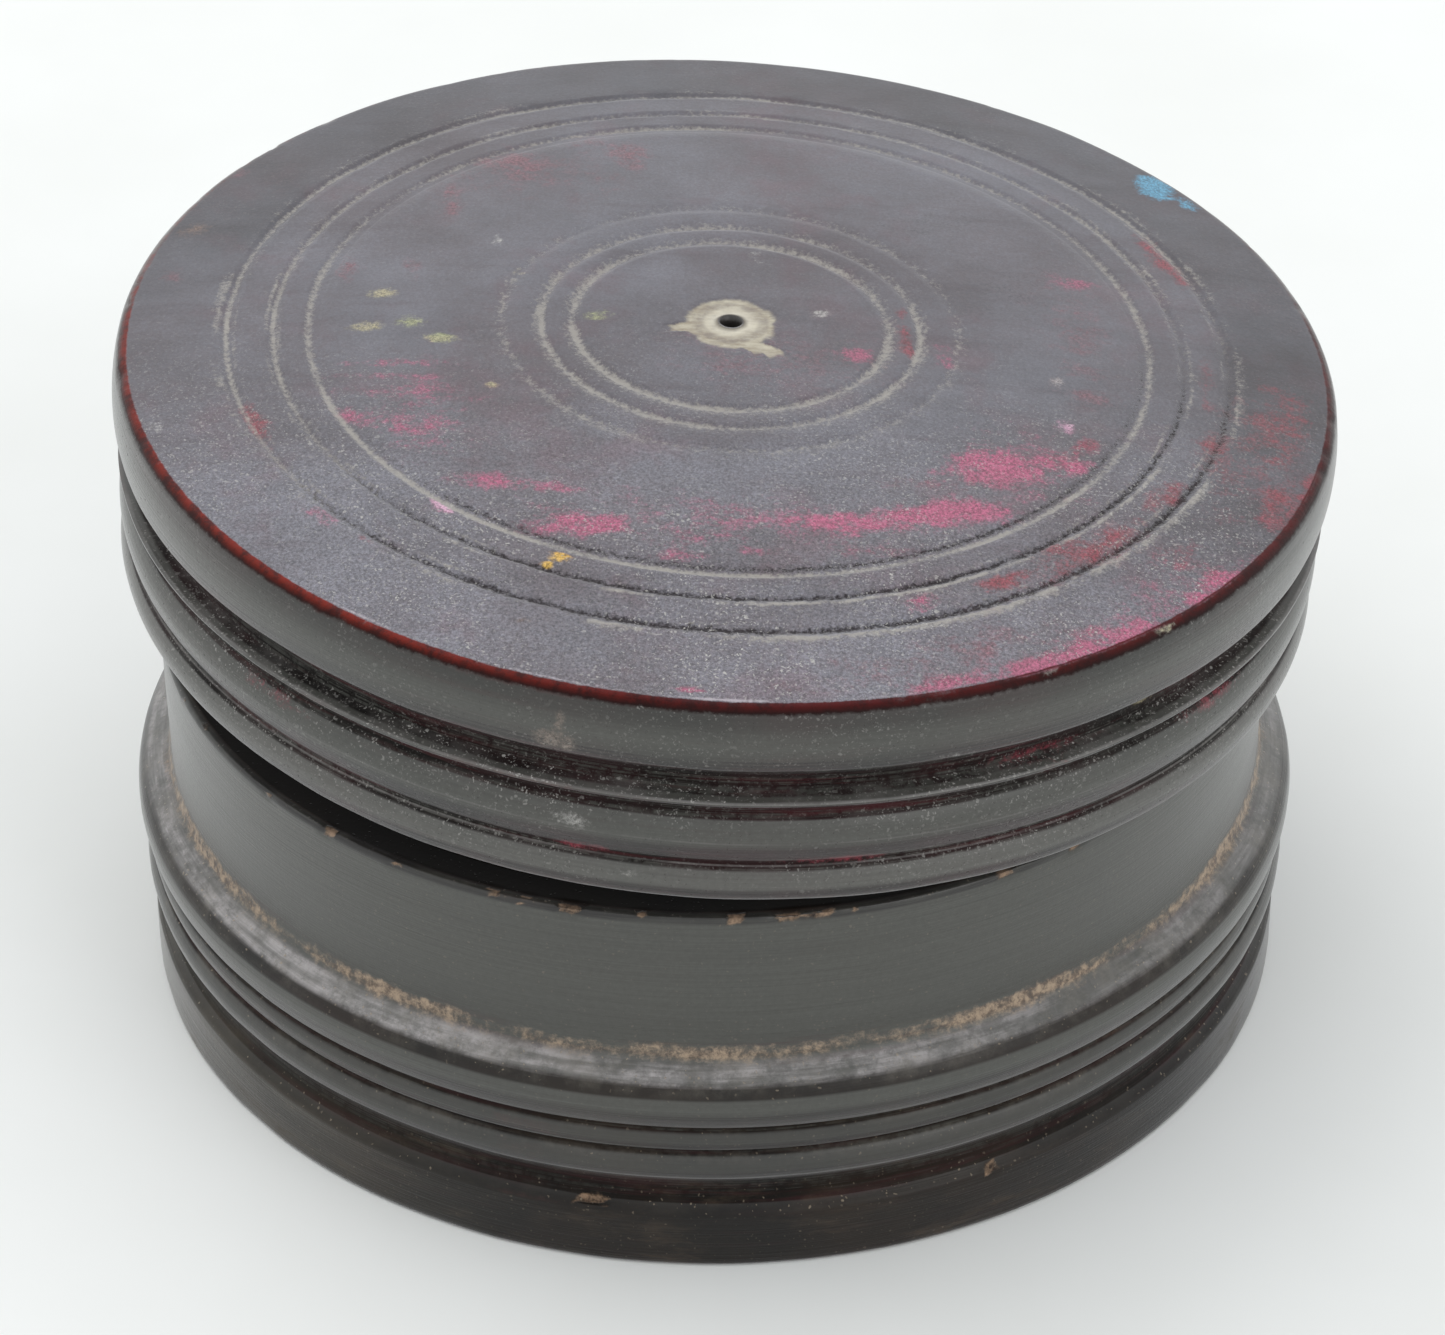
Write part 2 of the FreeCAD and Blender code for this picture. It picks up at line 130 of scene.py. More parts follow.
class Graph:
    """A short way to write a material's nodes. Sockets are passed about as plain values."""

    def __init__(self, name):
        self.material = bpy.data.materials.new(name)
        self.material.use_nodes = True
        self.tree = self.material.node_tree
        self.shader = self.tree.nodes["Principled BSDF"]
        self.object_point = self.node("ShaderNodeTexCoord").outputs["Object"]
        self.x, self.y, self.z = self.split(self.object_point)
        self.colour = None

    def node(self, kind, **settings):
        made = self.tree.nodes.new(kind)
        for key, value in settings.items():
            setattr(made, key, value)
        return made

    def feed(self, socket, value):
        if isinstance(value, bpy.types.NodeSocket):
            self.tree.links.new(value, socket)
        elif isinstance(value, (tuple, list)) and len(value) == 3 and socket.type == "RGBA":
            socket.default_value = (*value, 1.0)
        else:
            socket.default_value = value

    def math(self, operation, a, b=0.0, c=0.0, clamp=False):
        made = self.node("ShaderNodeMath", operation=operation, use_clamp=clamp)
        for socket, value in zip(made.inputs, (a, b, c)):
            self.feed(socket, value)
        return made.outputs[0]

    def times(self, a, *others):
        for b in others:
            a = self.math("MULTIPLY", a, b)
        return a

    def total(self, a, *others):
        for b in others:
            a = self.math("ADD", a, b)
        return a

    def blend(self, a, share, b):
        """a times share, plus b."""
        return self.math("MULTIPLY_ADD", a, share, b)

    def rest(self, a):
        return self.math("SUBTRACT", 1.0, a)

    def plus(self, a, *others):
        """A sum held between 0 and 1."""
        for b in others:
            a = self.math("ADD", a, b, clamp=True)
        return a

    def most(self, a, *others):
        for b in others:
            a = self.math("MAXIMUM", a, b)
        return a

    def besides(self, mask, other):
        """A mask, where another one isn't."""
        return self.times(mask, self.rest(other))

    def split(self, vector):
        """A vector's X, Y and Z."""
        parts = self.node("ShaderNodeSeparateXYZ")
        self.feed(parts.inputs[0], vector)
        return parts.outputs[0], parts.outputs[1], parts.outputs[2]

    def window(self, value, low, high, to_low=0.0, to_high=1.0):
        """Smoothly maps value from low..high to to_low..to_high."""
        made = self.node("ShaderNodeMapRange", interpolation_type="SMOOTHSTEP", clamp=True)
        for socket, number in zip(made.inputs, (value, low, high, to_low, to_high)):
            self.feed(socket, number)
        return made.outputs[0]

    def noise(self, scale, detail=4.0, rough=0.55, source=None, distort=0.0, seed=0.0):
        made = self.node("ShaderNodeTexNoise", noise_dimensions="4D")
        self.feed(made.inputs["Vector"], source or self.object_point)
        for key, value in (("W", seed), ("Scale", scale), ("Detail", detail),
                           ("Roughness", rough), ("Distortion", distort)):
            made.inputs[key].default_value = value
        return made.outputs["Fac"]

    def streaks(self, scale, detail, rough, seed, distort=0.0, turn=(0.0, 0.0, 0.0)):
        """Noise with its own scale along X, Y and Z."""
        made = self.node("ShaderNodeMapping")
        self.feed(made.inputs["Vector"], self.object_point)
        made.inputs["Rotation"].default_value = turn
        made.inputs["Scale"].default_value = scale
        return self.noise(1.0, detail, rough, made.outputs[0], distort, seed)

    def specks(self, scale, size, share, source=None):
        """Small soft grains of uneven brightness: one in some of the cells of a Voronoi pattern."""
        made = self.node("ShaderNodeTexVoronoi", voronoi_dimensions="3D")
        self.feed(made.inputs["Vector"], source or self.object_point)
        made.inputs["Scale"].default_value = scale
        parts = self.node("ShaderNodeSeparateColor")
        self.feed(parts.inputs[0], made.outputs["Color"])
        chosen = self.math("LESS_THAN", parts.outputs[0], share)
        grain = self.blend(parts.outputs[1], size, size * 0.25)
        reach = self.math("DIVIDE", made.outputs["Distance"], grain)
        near = self.window(reach, 0.55, 1.0, 1.0, 0.0)
        bright = self.blend(parts.outputs[2], 0.7, 0.3)
        return self.times(self.times(chosen, near), bright)

    def jittered(self, distance, scale):
        """The object's points pushed about a little, so that round grains become ragged."""
        made = self.node("ShaderNodeTexNoise")
        self.feed(made.inputs["Vector"], self.object_point)
        made.inputs["Scale"].default_value = scale
        made.inputs["Detail"].default_value = 2.0
        scaled = self.node("ShaderNodeVectorMath", operation="SCALE")
        self.feed(scaled.inputs[0], made.outputs["Color"])
        scaled.inputs["Scale"].default_value = distance * 2
        moved = self.node("ShaderNodeVectorMath", operation="ADD")
        self.feed(moved.inputs[0], self.object_point)
        self.feed(moved.inputs[1], scaled.outputs[0])
        return moved.outputs[0]

    def inside(self, value, low, high, soft):
        """1 where value lies between low and high, with soft ends."""
        return self.times(self.window(value, low - soft, low),
                          self.window(value, high, high + soft, 1.0, 0.0))

    def at_least(self, mask, texture, share, low, high):
        """A mask with its edge broken up by a texture of about 0.5."""
        broken = self.blend(texture, share, -share / 2)
        ragged = self.window(self.total(mask, broken), low, high)
        return self.times(ragged, self.window(mask, 0.01, 0.12))

    def attribute(self, name):
        made = self.node("ShaderNodeAttribute", attribute_name=name)
        return made.outputs["Fac"]

    def attribute_colour(self, name):
        made = self.node("ShaderNodeAttribute", attribute_name=name)
        return made.outputs["Color"], made.outputs["Alpha"]

    def mix(self, share, low, high):
        made = self.node("ShaderNodeMix", data_type="RGBA")
        self.feed(made.inputs["Factor"], share)
        self.feed(made.inputs[6], low)
        self.feed(made.inputs[7], high)
        return made.outputs[2]

    def scaled(self, colour, amount):
        """A colour made lighter or darker by a varying amount."""
        made = self.node("ShaderNodeVectorMath", operation="SCALE")
        self.feed(made.inputs[0], colour)
        self.feed(made.inputs["Scale"], amount)
        return made.outputs[0]

    def paint(self, mask, tint, share=None):
        """Lays a tint over the colour so far, where the mask is."""
        if share is not None:
            mask = self.times(mask, share)
        self.colour = self.mix(mask, self.colour, tint)

    def axis_distance(self):
        """Distance from the piece's own turning axis."""
        return self.math("SQRT", self.total(self.times(self.x, self.x), self.times(self.y, self.y)))

    def bump(self, height, distance, strength=1.0):
        made = self.node("ShaderNodeBump")
        made.inputs["Strength"].default_value = strength
        made.inputs["Distance"].default_value = distance
        self.feed(made.inputs["Height"], height)
        return made.outputs["Normal"]

    def finish(self, roughness, normal=None, specular=None, **plain):
        """The material, in the colour painted so far. Plain values go on the shader itself."""
        for key, value in (("Base Color", self.colour), ("Roughness", roughness),
                           ("Normal", normal), ("Specular IOR Level", specular)):
            if value is not None:
                self.feed(self.shader.inputs[key], value)
        for key, value in plain.items():
            self.shader.inputs[key.replace("_", " ")].default_value = value
        return self.material


# ---------------------------------------------------------------- noise and turning in numpy


def lattice(ix, iy, iz, seed):
    """A repeatable value from -1 to 1 at each whole-number point."""
    mixed = ix * 374761393 + iy * 668265263 + iz * 2147483647 + seed * 144665
    mixed = (mixed ^ (mixed >> 13)) * 1274126177 & 0x7FFFFFFF
    mixed = (mixed ^ (mixed >> 16)) * 2654435 & 0x7FFFFFFF
    return mixed / 0x3FFFFFFF - 1.0


def field(x, y, z, seed, octaves=1):
    """Smooth noise from about -1 to 1 at arrays of points."""
    total, weight, share = 0.0, 1.0, 0.0
    for octave in range(octaves):
        fx, fy, fz = np.floor(x), np.floor(y), np.floor(z)
        ix, iy, iz = fx.astype(np.int64), fy.astype(np.int64), fz.astype(np.int64)
        tx, ty, tz = (t * t * (3 - 2 * t) for t in (x - fx, y - fy, z - fz))
        value = 0.0
        for dx, wx in ((0, 1 - tx), (1, tx)):
            for dy, wy in ((0, 1 - ty), (1, ty)):
                for dz, wz in ((0, 1 - tz), (1, tz)):
                    corner = lattice(ix + dx, iy + dy, iz + dz, seed + octave)
                    value = value + wx * wy * wz * corner
        total = total + weight * value
        share += weight
        weight *= 0.5
        x, y, z = x * 2 + 17.3, y * 2 + 5.1, z * 2 + 9.7
    return total / share


def smooth(value, low, high):
    """0 below low, 1 above high, and a smooth step between."""
    t = np.clip((value - low) / (high - low), 0, 1)
    return t * t * (3 - 2 * t)


def trace(stations, step):
    """Points along an outline of (radius, height) or (radius, height, bulge) stations, in mm.

    A station with a bulge is reached by an arc that swells by that much to the right of its
    chord, or to the left where the bulge is negative.
    """
    points = [np.array(stations[0][:2], float)]
    for station in stations[1:]:
        start, goal = points[-1], np.array(station[:2], float)
        chord = goal - start
        length = float(np.hypot(*chord))
        count = max(1, round(length / step))
        share = np.linspace(0, 1, count + 1)[1:, None]
        if len(station) == 2:
            points.extend(start + chord * share)
            continue
        bulge = station[2]
        side = np.array([chord[1], -chord[0]]) / length
        radius = (length**2 / 4 + bulge**2) / (2 * abs(bulge))
        half = math.asin(min(1.0, length / 2 / radius))
        angle = (2 * share - 1) * half
        along = radius * np.sin(angle)
        out = (radius * np.cos(angle) - radius * math.cos(half)) * math.copysign(1, bulge)
        points.extend((start + goal) / 2 + chord / length * along + side * out)
    return np.array(points)


def normals_of(points):
    """The outward direction at each point of an outline drawn with its solid on the left."""
    ahead = np.gradient(points, axis=0)
    side = np.stack([ahead[:, 1], -ahead[:, 0]], 1)
    return side / np.maximum(np.linalg.norm(side, axis=1), 1e-9)[:, None]


def bend_of(points, reach):
    """How convex (+) or concave (-) an outline is at each point, seen over a reach in mm."""
    steps = np.linalg.norm(np.diff(points, axis=0), axis=1)
    run = np.concatenate([[0], np.cumsum(steps)])
    ahead = np.stack([np.interp(run + reach, run, points[:, k]) for k in (0, 1)], 1)
    behind = np.stack([np.interp(run - reach, run, points[:, k]) for k in (0, 1)], 1)
    lift = points - (ahead + behind) / 2
    return (lift * normals_of(points)).sum(1) / reach


class Turning:
    """A piece turned about its own Z axis: rings of points, one ring for each outline point."""

    def __init__(self, points, segments):
        self.points = points
        self.segments = segments
        self.turn = np.linspace(0, 2 * math.pi, segments, endpoint=False)[None, :]
        self.radius = np.repeat(points[:, :1], segments, 1)
        self.height = np.repeat(points[:, 1:], segments, 1)
        self.out = normals_of(points)
        self.turns = np.broadcast_to(self.turn, self.radius.shape)
        self.drawn_radius = self.radius
        self.layers = {}
        self.colours = {}

    def places(self):
        """X, Y and Z of every ring point, in mm."""
        return self.radius * np.cos(self.turn), self.radius * np.sin(self.turn), self.height

    def around(self, size, seed, octaves=2):
        """Noise that changes round the piece and hardly across it."""
        return field(10 * np.cos(self.turns) / size, 10 * np.sin(self.turns) / size,
                     self.drawn_radius * 0.02, seed, octaves)

    def bends(self, reach, strength, where):
        """How convex and how concave the outline is, each from 0 to 1, on part of the piece."""
        bend = bend_of(self.points, reach)[:, None] * strength
        return np.clip(bend, 0, 1) * where, np.clip(-bend, 0, 1) * where

    def push(self, amount):
        """Moves every point along its outward direction by amount, in mm."""
        self.radius = self.radius + self.out[:, :1] * amount
        self.height = self.height + self.out[:, 1:] * amount

    def build(self, name, material=None):
        """The mesh object. An outline end on the axis closes to a single point."""
        x, y, z = self.places()
        rings, segments = x.shape
        co = np.stack([x, y, z], -1).reshape(-1, 3) * MM
        starts_closed = self.points[0, 0] < 1e-6
        ends_closed = self.points[-1, 0] < 1e-6
        first, last = int(starts_closed), rings - int(ends_closed)
        tips = [[0.0, 0.0, float(self.height[row].mean()) * MM]
                for row, closed in ((0, starts_closed), (-1, ends_closed)) if closed]
        verts = np.concatenate([co[first * segments:last * segments],
                                np.array(tips).reshape(-1, 3)])
        here = np.arange(segments)
        beside = (here + 1) % segments
        faces = []
        for ring in range(last - first - 1):
            low, high = ring * segments, (ring + 1) * segments
            quad = np.stack([low + here, low + beside, high + beside, high + here], 1)
            faces.extend(quad.tolist())
        tip = (last - first) * segments
        if starts_closed:
            faces.extend(np.stack([here * 0 + tip, beside, here], 1).tolist())
            tip += 1
        if ends_closed:
            top = (last - first - 1) * segments
            faces.extend(np.stack([here * 0 + tip, top + here, top + beside], 1).tolist())
        made = add_mesh(name, verts.tolist(), faces, material)
        ends = (first, last, starts_closed, ends_closed)
        for layer, value in self.layers.items():
            flat = self.with_tips(np.broadcast_to(value, x.shape)[..., None], *ends)
            store(made.data, layer, "FLOAT", "value", flat)
        for layer, value in self.colours.items():
            store(made.data, layer, "FLOAT_COLOR", "color", self.with_tips(value, *ends))
        made.data.validate()
        return made

    @staticmethod
    def with_tips(value, first, last, starts_closed, ends_closed):
        parts = [value[first:last].reshape(-1, *value.shape[2:])]
        if starts_closed:
            parts.append(value[0].mean(0)[None])
        if ends_closed:
            parts.append(value[-1].mean(0)[None])
        return np.concatenate(parts)


def store(mesh, layer, kind, field_name, value):
    """Keeps one value for each point of a mesh, for its material to read."""
    made = mesh.attributes.new(layer, kind, "POINT")
    made.data.foreach_set(field_name, value.ravel().astype(np.float32))


# ---------------------------------------------------------------- marks on the turned wood

MAGENTA = (0.39, 0.09, 0.17)
MAROON = (0.19, 0.085, 0.105)
RED = (0.22, 0.04, 0.055)
BLUE = (0.09, 0.29, 0.44)
GREEN = (0.3, 0.31, 0.17)
ORANGE = (0.62, 0.38, 0.06)
PINK = (0.56, 0.33, 0.45)
WHITE = (0.43, 0.42, 0.4)
BROWN = (0.2, 0.13, 0.1)
SMOKE = (0.085, 0.082, 0.095)
OCHRE = (0.36, 0.32, 0.2)
RUBBED = (0.15, 0.12, 0.1)

# Each stain: place x and y in mm from the lid's axis, half length, half width, turn in degrees,
# colour and strength.
STAINS = (
    (0, -25, 17, 3.6, 0, MAGENTA, 0.46),
    (-22.5, -12.5, 5.5, 6, 0, MAGENTA, 0.44),
    (21, -16, 6, 5, 10, MAGENTA, 0.48),
    (25.8, 2, 3, 10, 0, MAROON, 0.5),
    (30.5, -30.5, 11, 4.5, 44, MAGENTA, 0.44),
    (14, -39, 12, 3, 18, MAROON, 0.5),
    (-14, 21.5, 9, 5, 0, MAROON, 0.48),
    (3, -5, 9, 5, 0, MAROON, 0.46),
    (38, -12, 4, 12, -18, RED, 0.5),
    (24, -26.5, 9, 1.6, 44, RED, 0.6),
    (-41.5, 6.5, 1, 1.4, 0, MAROON, 0.6),
    (-37.6, 22.4, 1.3, 0.9, 60, MAROON, 0.6),
    (-40.4, 13.6, 1.5, 1, 30, BROWN, 0.6),
    (-28.5, 7, 1, 2, 0, MAROON, 0.8),
    (-23.6, 6.6, 0.8, 1.6, 10, MAROON, 0.6),
    (-21.2, 17.2, 0.8, 2.4, 5, MAROON, 0.9),
    (-16.6, 23.4, 2.6, 3.4, 20, MAROON, 0.85),
    (-7.8, 25.2, 1.8, 3, 15, MAROON, 0.8),
    (-11, 27.5, 1.6, 1.6, 15, MAROON, 0.7),
    (16, 17, 7, 2.6, 25, SMOKE, 0.5),
    (22, 8, 6, 2.2, 40, SMOKE, 0.5),
    (4, 24, 6, 2, -20, SMOKE, 0.4),
    (-24, -6.5, 5, 0.7, 0, MAGENTA, 0.6),
    (-24.5, -8.2, 5, 0.6, -3, MAGENTA, 0.6),
    (-24, -10, 4.6, 0.9, -3, MAGENTA, 0.6),
    (-23, -14.4, 3.8, 1.9, -8, MAGENTA, 0.75),
    (-27, -13, 1.6, 1, -30, MAGENTA, 0.7),
    (-17, -21.2, 3.2, 1.1, -4, MAGENTA, 0.9),
    (-12.3, -21.8, 2, 0.9, 0, MAGENTA, 0.75),
    (-10.4, -26, 4.8, 1.3, 0, MAGENTA, 0.95),
    (-2.2, -26.8, 3.5, 1.2, 0, MAGENTA, 0.6),
    (-3.2, -29.2, 1.8, 0.7, 0, MAGENTA, 0.85),
    (1.8, -28.4, 2.6, 0.9, 0, MAGENTA, 0.6),
    (0.6, -24.8, 3.4, 1, 2, MAGENTA, 0.65),
    (7.6, -24.6, 4.6, 1.2, 5, MAGENTA, 1),
    (14.6, -22.8, 5.2, 1.7, 10, MAGENTA, 1.1),
    (9.5, -27.6, 4.5, 0.8, 6, MAROON, 0.6),
    (18.6, -16.9, 4.2, 2.3, 8, MAGENTA, 1.2),
    (23.2, -15.6, 3.4, 1.5, 14, MAGENTA, 1),
    (25.2, -13.2, 2.6, 0.9, 45, RED, 0.8),
    (15, -19, 5, 0.9, 8, MAROON, 0.6),
    (9.2, -3.6, 1.5, 1.1, 5, MAGENTA, 0.85),
    (12.9, -1.2, 0.6, 2.6, 8, RED, 0.9),
    (12.6, 2.4, 0.5, 1.6, -10, RED, 0.6),
    (15.6, -3, 0.8, 1.8, 10, MAGENTA, 0.7),
    (2, -6.6, 4, 1.2, 0, MAROON, 0.5),
    (25.8, 9.4, 1.8, 1, 0, MAGENTA, 0.8),
    (25, 5.2, 2.2, 0.8, 0, MAROON, 0.7),
    (26.8, -6.4, 2.6, 1, -8, MAROON, 0.7),
    (25.5, -1.5, 2.2, 0.8, 0, MAROON, 0.5),
    (32.4, 16, 1, 3.4, 24, RED, 1),
    (34, 12.6, 0.7, 2, 18, RED, 0.8),
    (35, -3, 0.8, 4, -4, RED, 0.6),
    (34.8, -11.6, 1.5, 4.2, -20, RED, 0.75),
    (31, -18, 1.2, 3, -32, RED, 0.7),
    (26.6, -24.8, 1.5, 3.4, -46, RED, 1),
    (19.2, -29.6, 2.4, 0.9, 30, RED, 1.1),
    (23, -25.2, 3, 0.7, 42, RED, 0.8),
    (13.2, -32.8, 1.3, 0.9, 24, MAGENTA, 1),
    (39.8, -8, 2.8, 6, -10, RED, 0.7),
    (39.6, -17, 2.2, 3.6, -22, RED, 0.85),
    (41.6, -15.4, 0.9, 3, -22, RED, 1),
    (34.6, -27.8, 1.6, 4.4, -42, MAGENTA, 1),
    (31.6, -24.4, 2, 3.4, -40, RED, 0.6),
    (26.6, -34.6, 4.2, 1.5, 38, MAGENTA, 1),
    (21.2, -38.2, 3.4, 1.2, 30, MAGENTA, 1.1),
    (15, -40.8, 3.4, 0.9, 20, MAGENTA, 0.9),
    (18, -36.4, 6, 1.6, 26, MAROON, 0.7),
    (-2.6, -43, 1.2, 0.4, 0, MAGENTA, 0.9),
    (-33.8, -13.8, 0.7, 3, 22, RED, 0.9),
    (-28.4, -25.2, 1.8, 0.8, -42, MAGENTA, 0.6),
    (-25.6, -27.4, 1.4, 0.6, -40, RED, 0.6),
    (-14, -36.4, 0.6, 0.4, 0, BROWN, 0.8),
    (33.2, 27.3, 1.5, 1.9, 20, BLUE, 1.9),
    (35.6, 24.6, 0.8, 1.6, 32, BLUE, 0.9),
    (-25.5, 3.3, 1.1, 0.9, 8, OCHRE, 1.1),
    (-26.6, -1.5, 1.3, 0.7, 10, OCHRE, 1),
    (-23.4, -0.9, 1.2, 0.8, -10, GREEN, 0.9),
    (-21.1, -3.1, 1.2, 0.7, -20, GREEN, 1.3),
    (-17.3, -9.3, 0.7, 0.5, 0, GREEN, 1),
    (-15.8, 6.6, 0.7, 0.7, 0, OCHRE, 0.8),
    (-9.6, 0.2, 1.3, 0.8, 10, GREEN, 0.8),
    (-11.8, -29.7, 0.9, 0.5, -20, ORANGE, 1.3),
    (-12.6, -30.5, 0.4, 0.4, 0, ORANGE, 1.2),
    (-20.2, -24, 1.2, 0.35, -48, PINK, 1.3),
    (24.2, -10.6, 0.8, 0.8, 50, PINK, 1),
    (24, -4.8, 0.7, 0.7, 0, WHITE, 0.7),
    (6.5, 1.8, 0.9, 0.7, 40, WHITE, 0.9),
    (-17.4, 10.8, 0.6, 1.1, 0, WHITE, 0.7),
    (2.2, 9.6, 0.8, 1.6, 0, WHITE, 0.5),
    (-41, -14, 0.8, 1, 0, WHITE, 0.7),
)


def ellipse(x, y, px, py, length, width, turn):
    """0 at the middle of an ellipse and 1 on its edge. Its turn is in degrees."""
    angle = math.radians(turn)
    along = ((x - px) * math.cos(angle) + (y - py) * math.sin(angle)) / length
    across = ((y - py) * math.cos(angle) - (x - px) * math.sin(angle)) / width
    return np.hypot(along, across)


def stain_colours(x, y, stains):
    """Ink colour and coverage at points of the lid's top, in mm."""
    ragged = field(x / 2.2, y / 0.8, x * 0, 31, octaves=3)
    colour = np.zeros((*x.shape, 4))
    for *place, ink, strength in stains:
        width = place[3]
        roughness = 0.55 * min(1.0, width / 1.5)
        away = ellipse(x, y, *place) + roughness * ragged
        cover = strength * smooth(away, 1.75, 0.15)
        share = np.where(colour[..., 3] > 0,
                         cover / np.maximum(cover + colour[..., 3], 1e-6), cover > 0)
        colour[..., :3] += (np.array(ink) - colour[..., :3]) * share[..., None]
        colour[..., 3] = np.maximum(colour[..., 3], cover)
    return colour


# Each spot on the lid's side: azimuth in degrees, height, half length and half height in mm,
# colour and strength.
SIDE_SPOTS = (
    (-105, 12.7, 1.5, 0.9, RUBBED, 1.2),
    (-104.6, 14, 0.5, 0.9, RUBBED, 0.9),
    (-47, 10, 1.6, 0.5, OCHRE, 0.9),
    (-40, 10.4, 1.2, 0.5, OCHRE, 0.9),
    (-33, 10.6, 1.3, 0.6, OCHRE, 1),
    (-26, 10.8, 0.8, 0.6, OCHRE, 0.9),
    (-70, 11.7, 1.6, 0.35, WHITE, 0.6),
    (-60.5, 16.66, 0.6, 0.24, RUBBED, 1.1),
    (-47, 16.6, 1.00, 0.28, OCHRE, 1),
    (-103, 5.6, 2.2, 0.7, WHITE, 0.45),
    (-98, 1.8, 1.6, 0.5, WHITE, 0.45),
    (-102, 3.4, 2, 0.5, RED, 0.9),
    (-80, 3.3, 5, 0.5, RED, 0.7),
    (-60, 9.2, 5, 0.5, RED, 0.6),
    (-135, 6.6, 5, 0.7, RED, 0.5),
    (-38, 6.9, 4, 0.6, RED, 0.7),
    (30, 10, 2.4, 0.6, OCHRE, 0.8),
    (80, 9.8, 3, 0.5, WHITE, 0.6),
    (140, 10.2, 2.4, 0.6, OCHRE, 0.6),
)


def patch(x, y, px, py, length, width, turn=0.0):
    """1 inside an ellipse, falling to 0 outside it."""
    return smooth(ellipse(x, y, px, py, length, width, turn), 1.25, 0.75)


def cut(radius, middle, half_width, power=1.0):
    """Profile of a turned line: 1 at its middle, 0 at its edges."""
    return np.clip(1 - np.abs(radius - middle) / half_width, 0, 1) ** power


# ---------------------------------------------------------------- lid

SEGMENTS = 420
LID_SIDE = (
    (0, 11.0), (40.6, 11.0), (40.6, 0.4), (41.0, 0.0), (44.1, 0.0), (43.95, 2.9, 0.6),
    (43.9, 3.2), (43.8, 7.2, 0.85), (44.8, 8.4, -0.35), (44.8, 8.65), (43.4, 8.9),
    (44.5, 11.4, -0.55), (45.0, 11.6), (45.0, 15.6, 0.2), (44.2, 16.7, 0.25),
)
LID_TOP_RADIUS = 44.2
LID_TOP_EDGE = 16.7
LID_TOP_MIDDLE = 19.5
LID_TOP_BULGE = 0.7
HOLE_RADIUS = 0.85
HOLE_BOTTOM = 14.5
HOLE_MOUNT_HEIGHT = 17.0
TURNED_LINES = (11.6, 13.9, 16.8, 30.9, 33.5, 36.9)
SIDE_RADIUS = 45.0
ARRIS_HEIGHT = 16.5
RIM_LINE_RADIUS = 43.95
# Directions in degrees: where the turned lines are darkened with painted shade, where the lines are
# chipped, where a painted sheen lightens the top's outer ring, and where a pale line of dust and
# painted highlight lies along its rim.
SHADED_LINES_SIDE, CHIPPED_SIDE, SHEEN_SIDE, RIM_LINE_SIDE = -70, -54, -112, -100


def towards(turn, degrees):
    """1 in a direction and -1 opposite it."""
    return np.cos(turn - math.radians(degrees))


def lid_top_points():
    """Rings of the lid's top, closer together at the turned lines and round the hole."""
    edge, middle = (LID_TOP_RADIUS, LID_TOP_EDGE), (0, LID_TOP_MIDDLE, LID_TOP_BULGE)
    dome = trace((edge, middle), 0.1)
    radii = [LID_TOP_RADIUS]
    while radii[-1] > HOLE_RADIUS + 0.1:
        near_line = min(abs(radii[-1] - line) for line in TURNED_LINES) < 0.95
        near_hole = radii[-1] < 5.0 or radii[-1] > 43.3
        radii.append(radii[-1] - (0.17 if near_line else 0.25 if near_hole else 0.8))
    radii[-1] = HOLE_RADIUS
    heights = np.interp(radii, dome[::-1, 0], dome[::-1, 1])
    return np.column_stack([radii, heights])[1:]


def lid_matrix():
    """Places the lid's own frame, whose Z is its turning axis and whose origin is at the rim."""
    mount = next(m for m in frame["record"]["mounts"] if m["name"] == "knob_pin_hole")
    axis = Vector(mount["axis"]).normalized()
    origin = Vector(mount["pos_m"]) - axis * HOLE_MOUNT_HEIGHT * MM
    turn = Vector((0, 0, 1)).rotation_difference(axis)
    return Matrix.Translation(origin) @ turn.to_matrix().to_4x4()


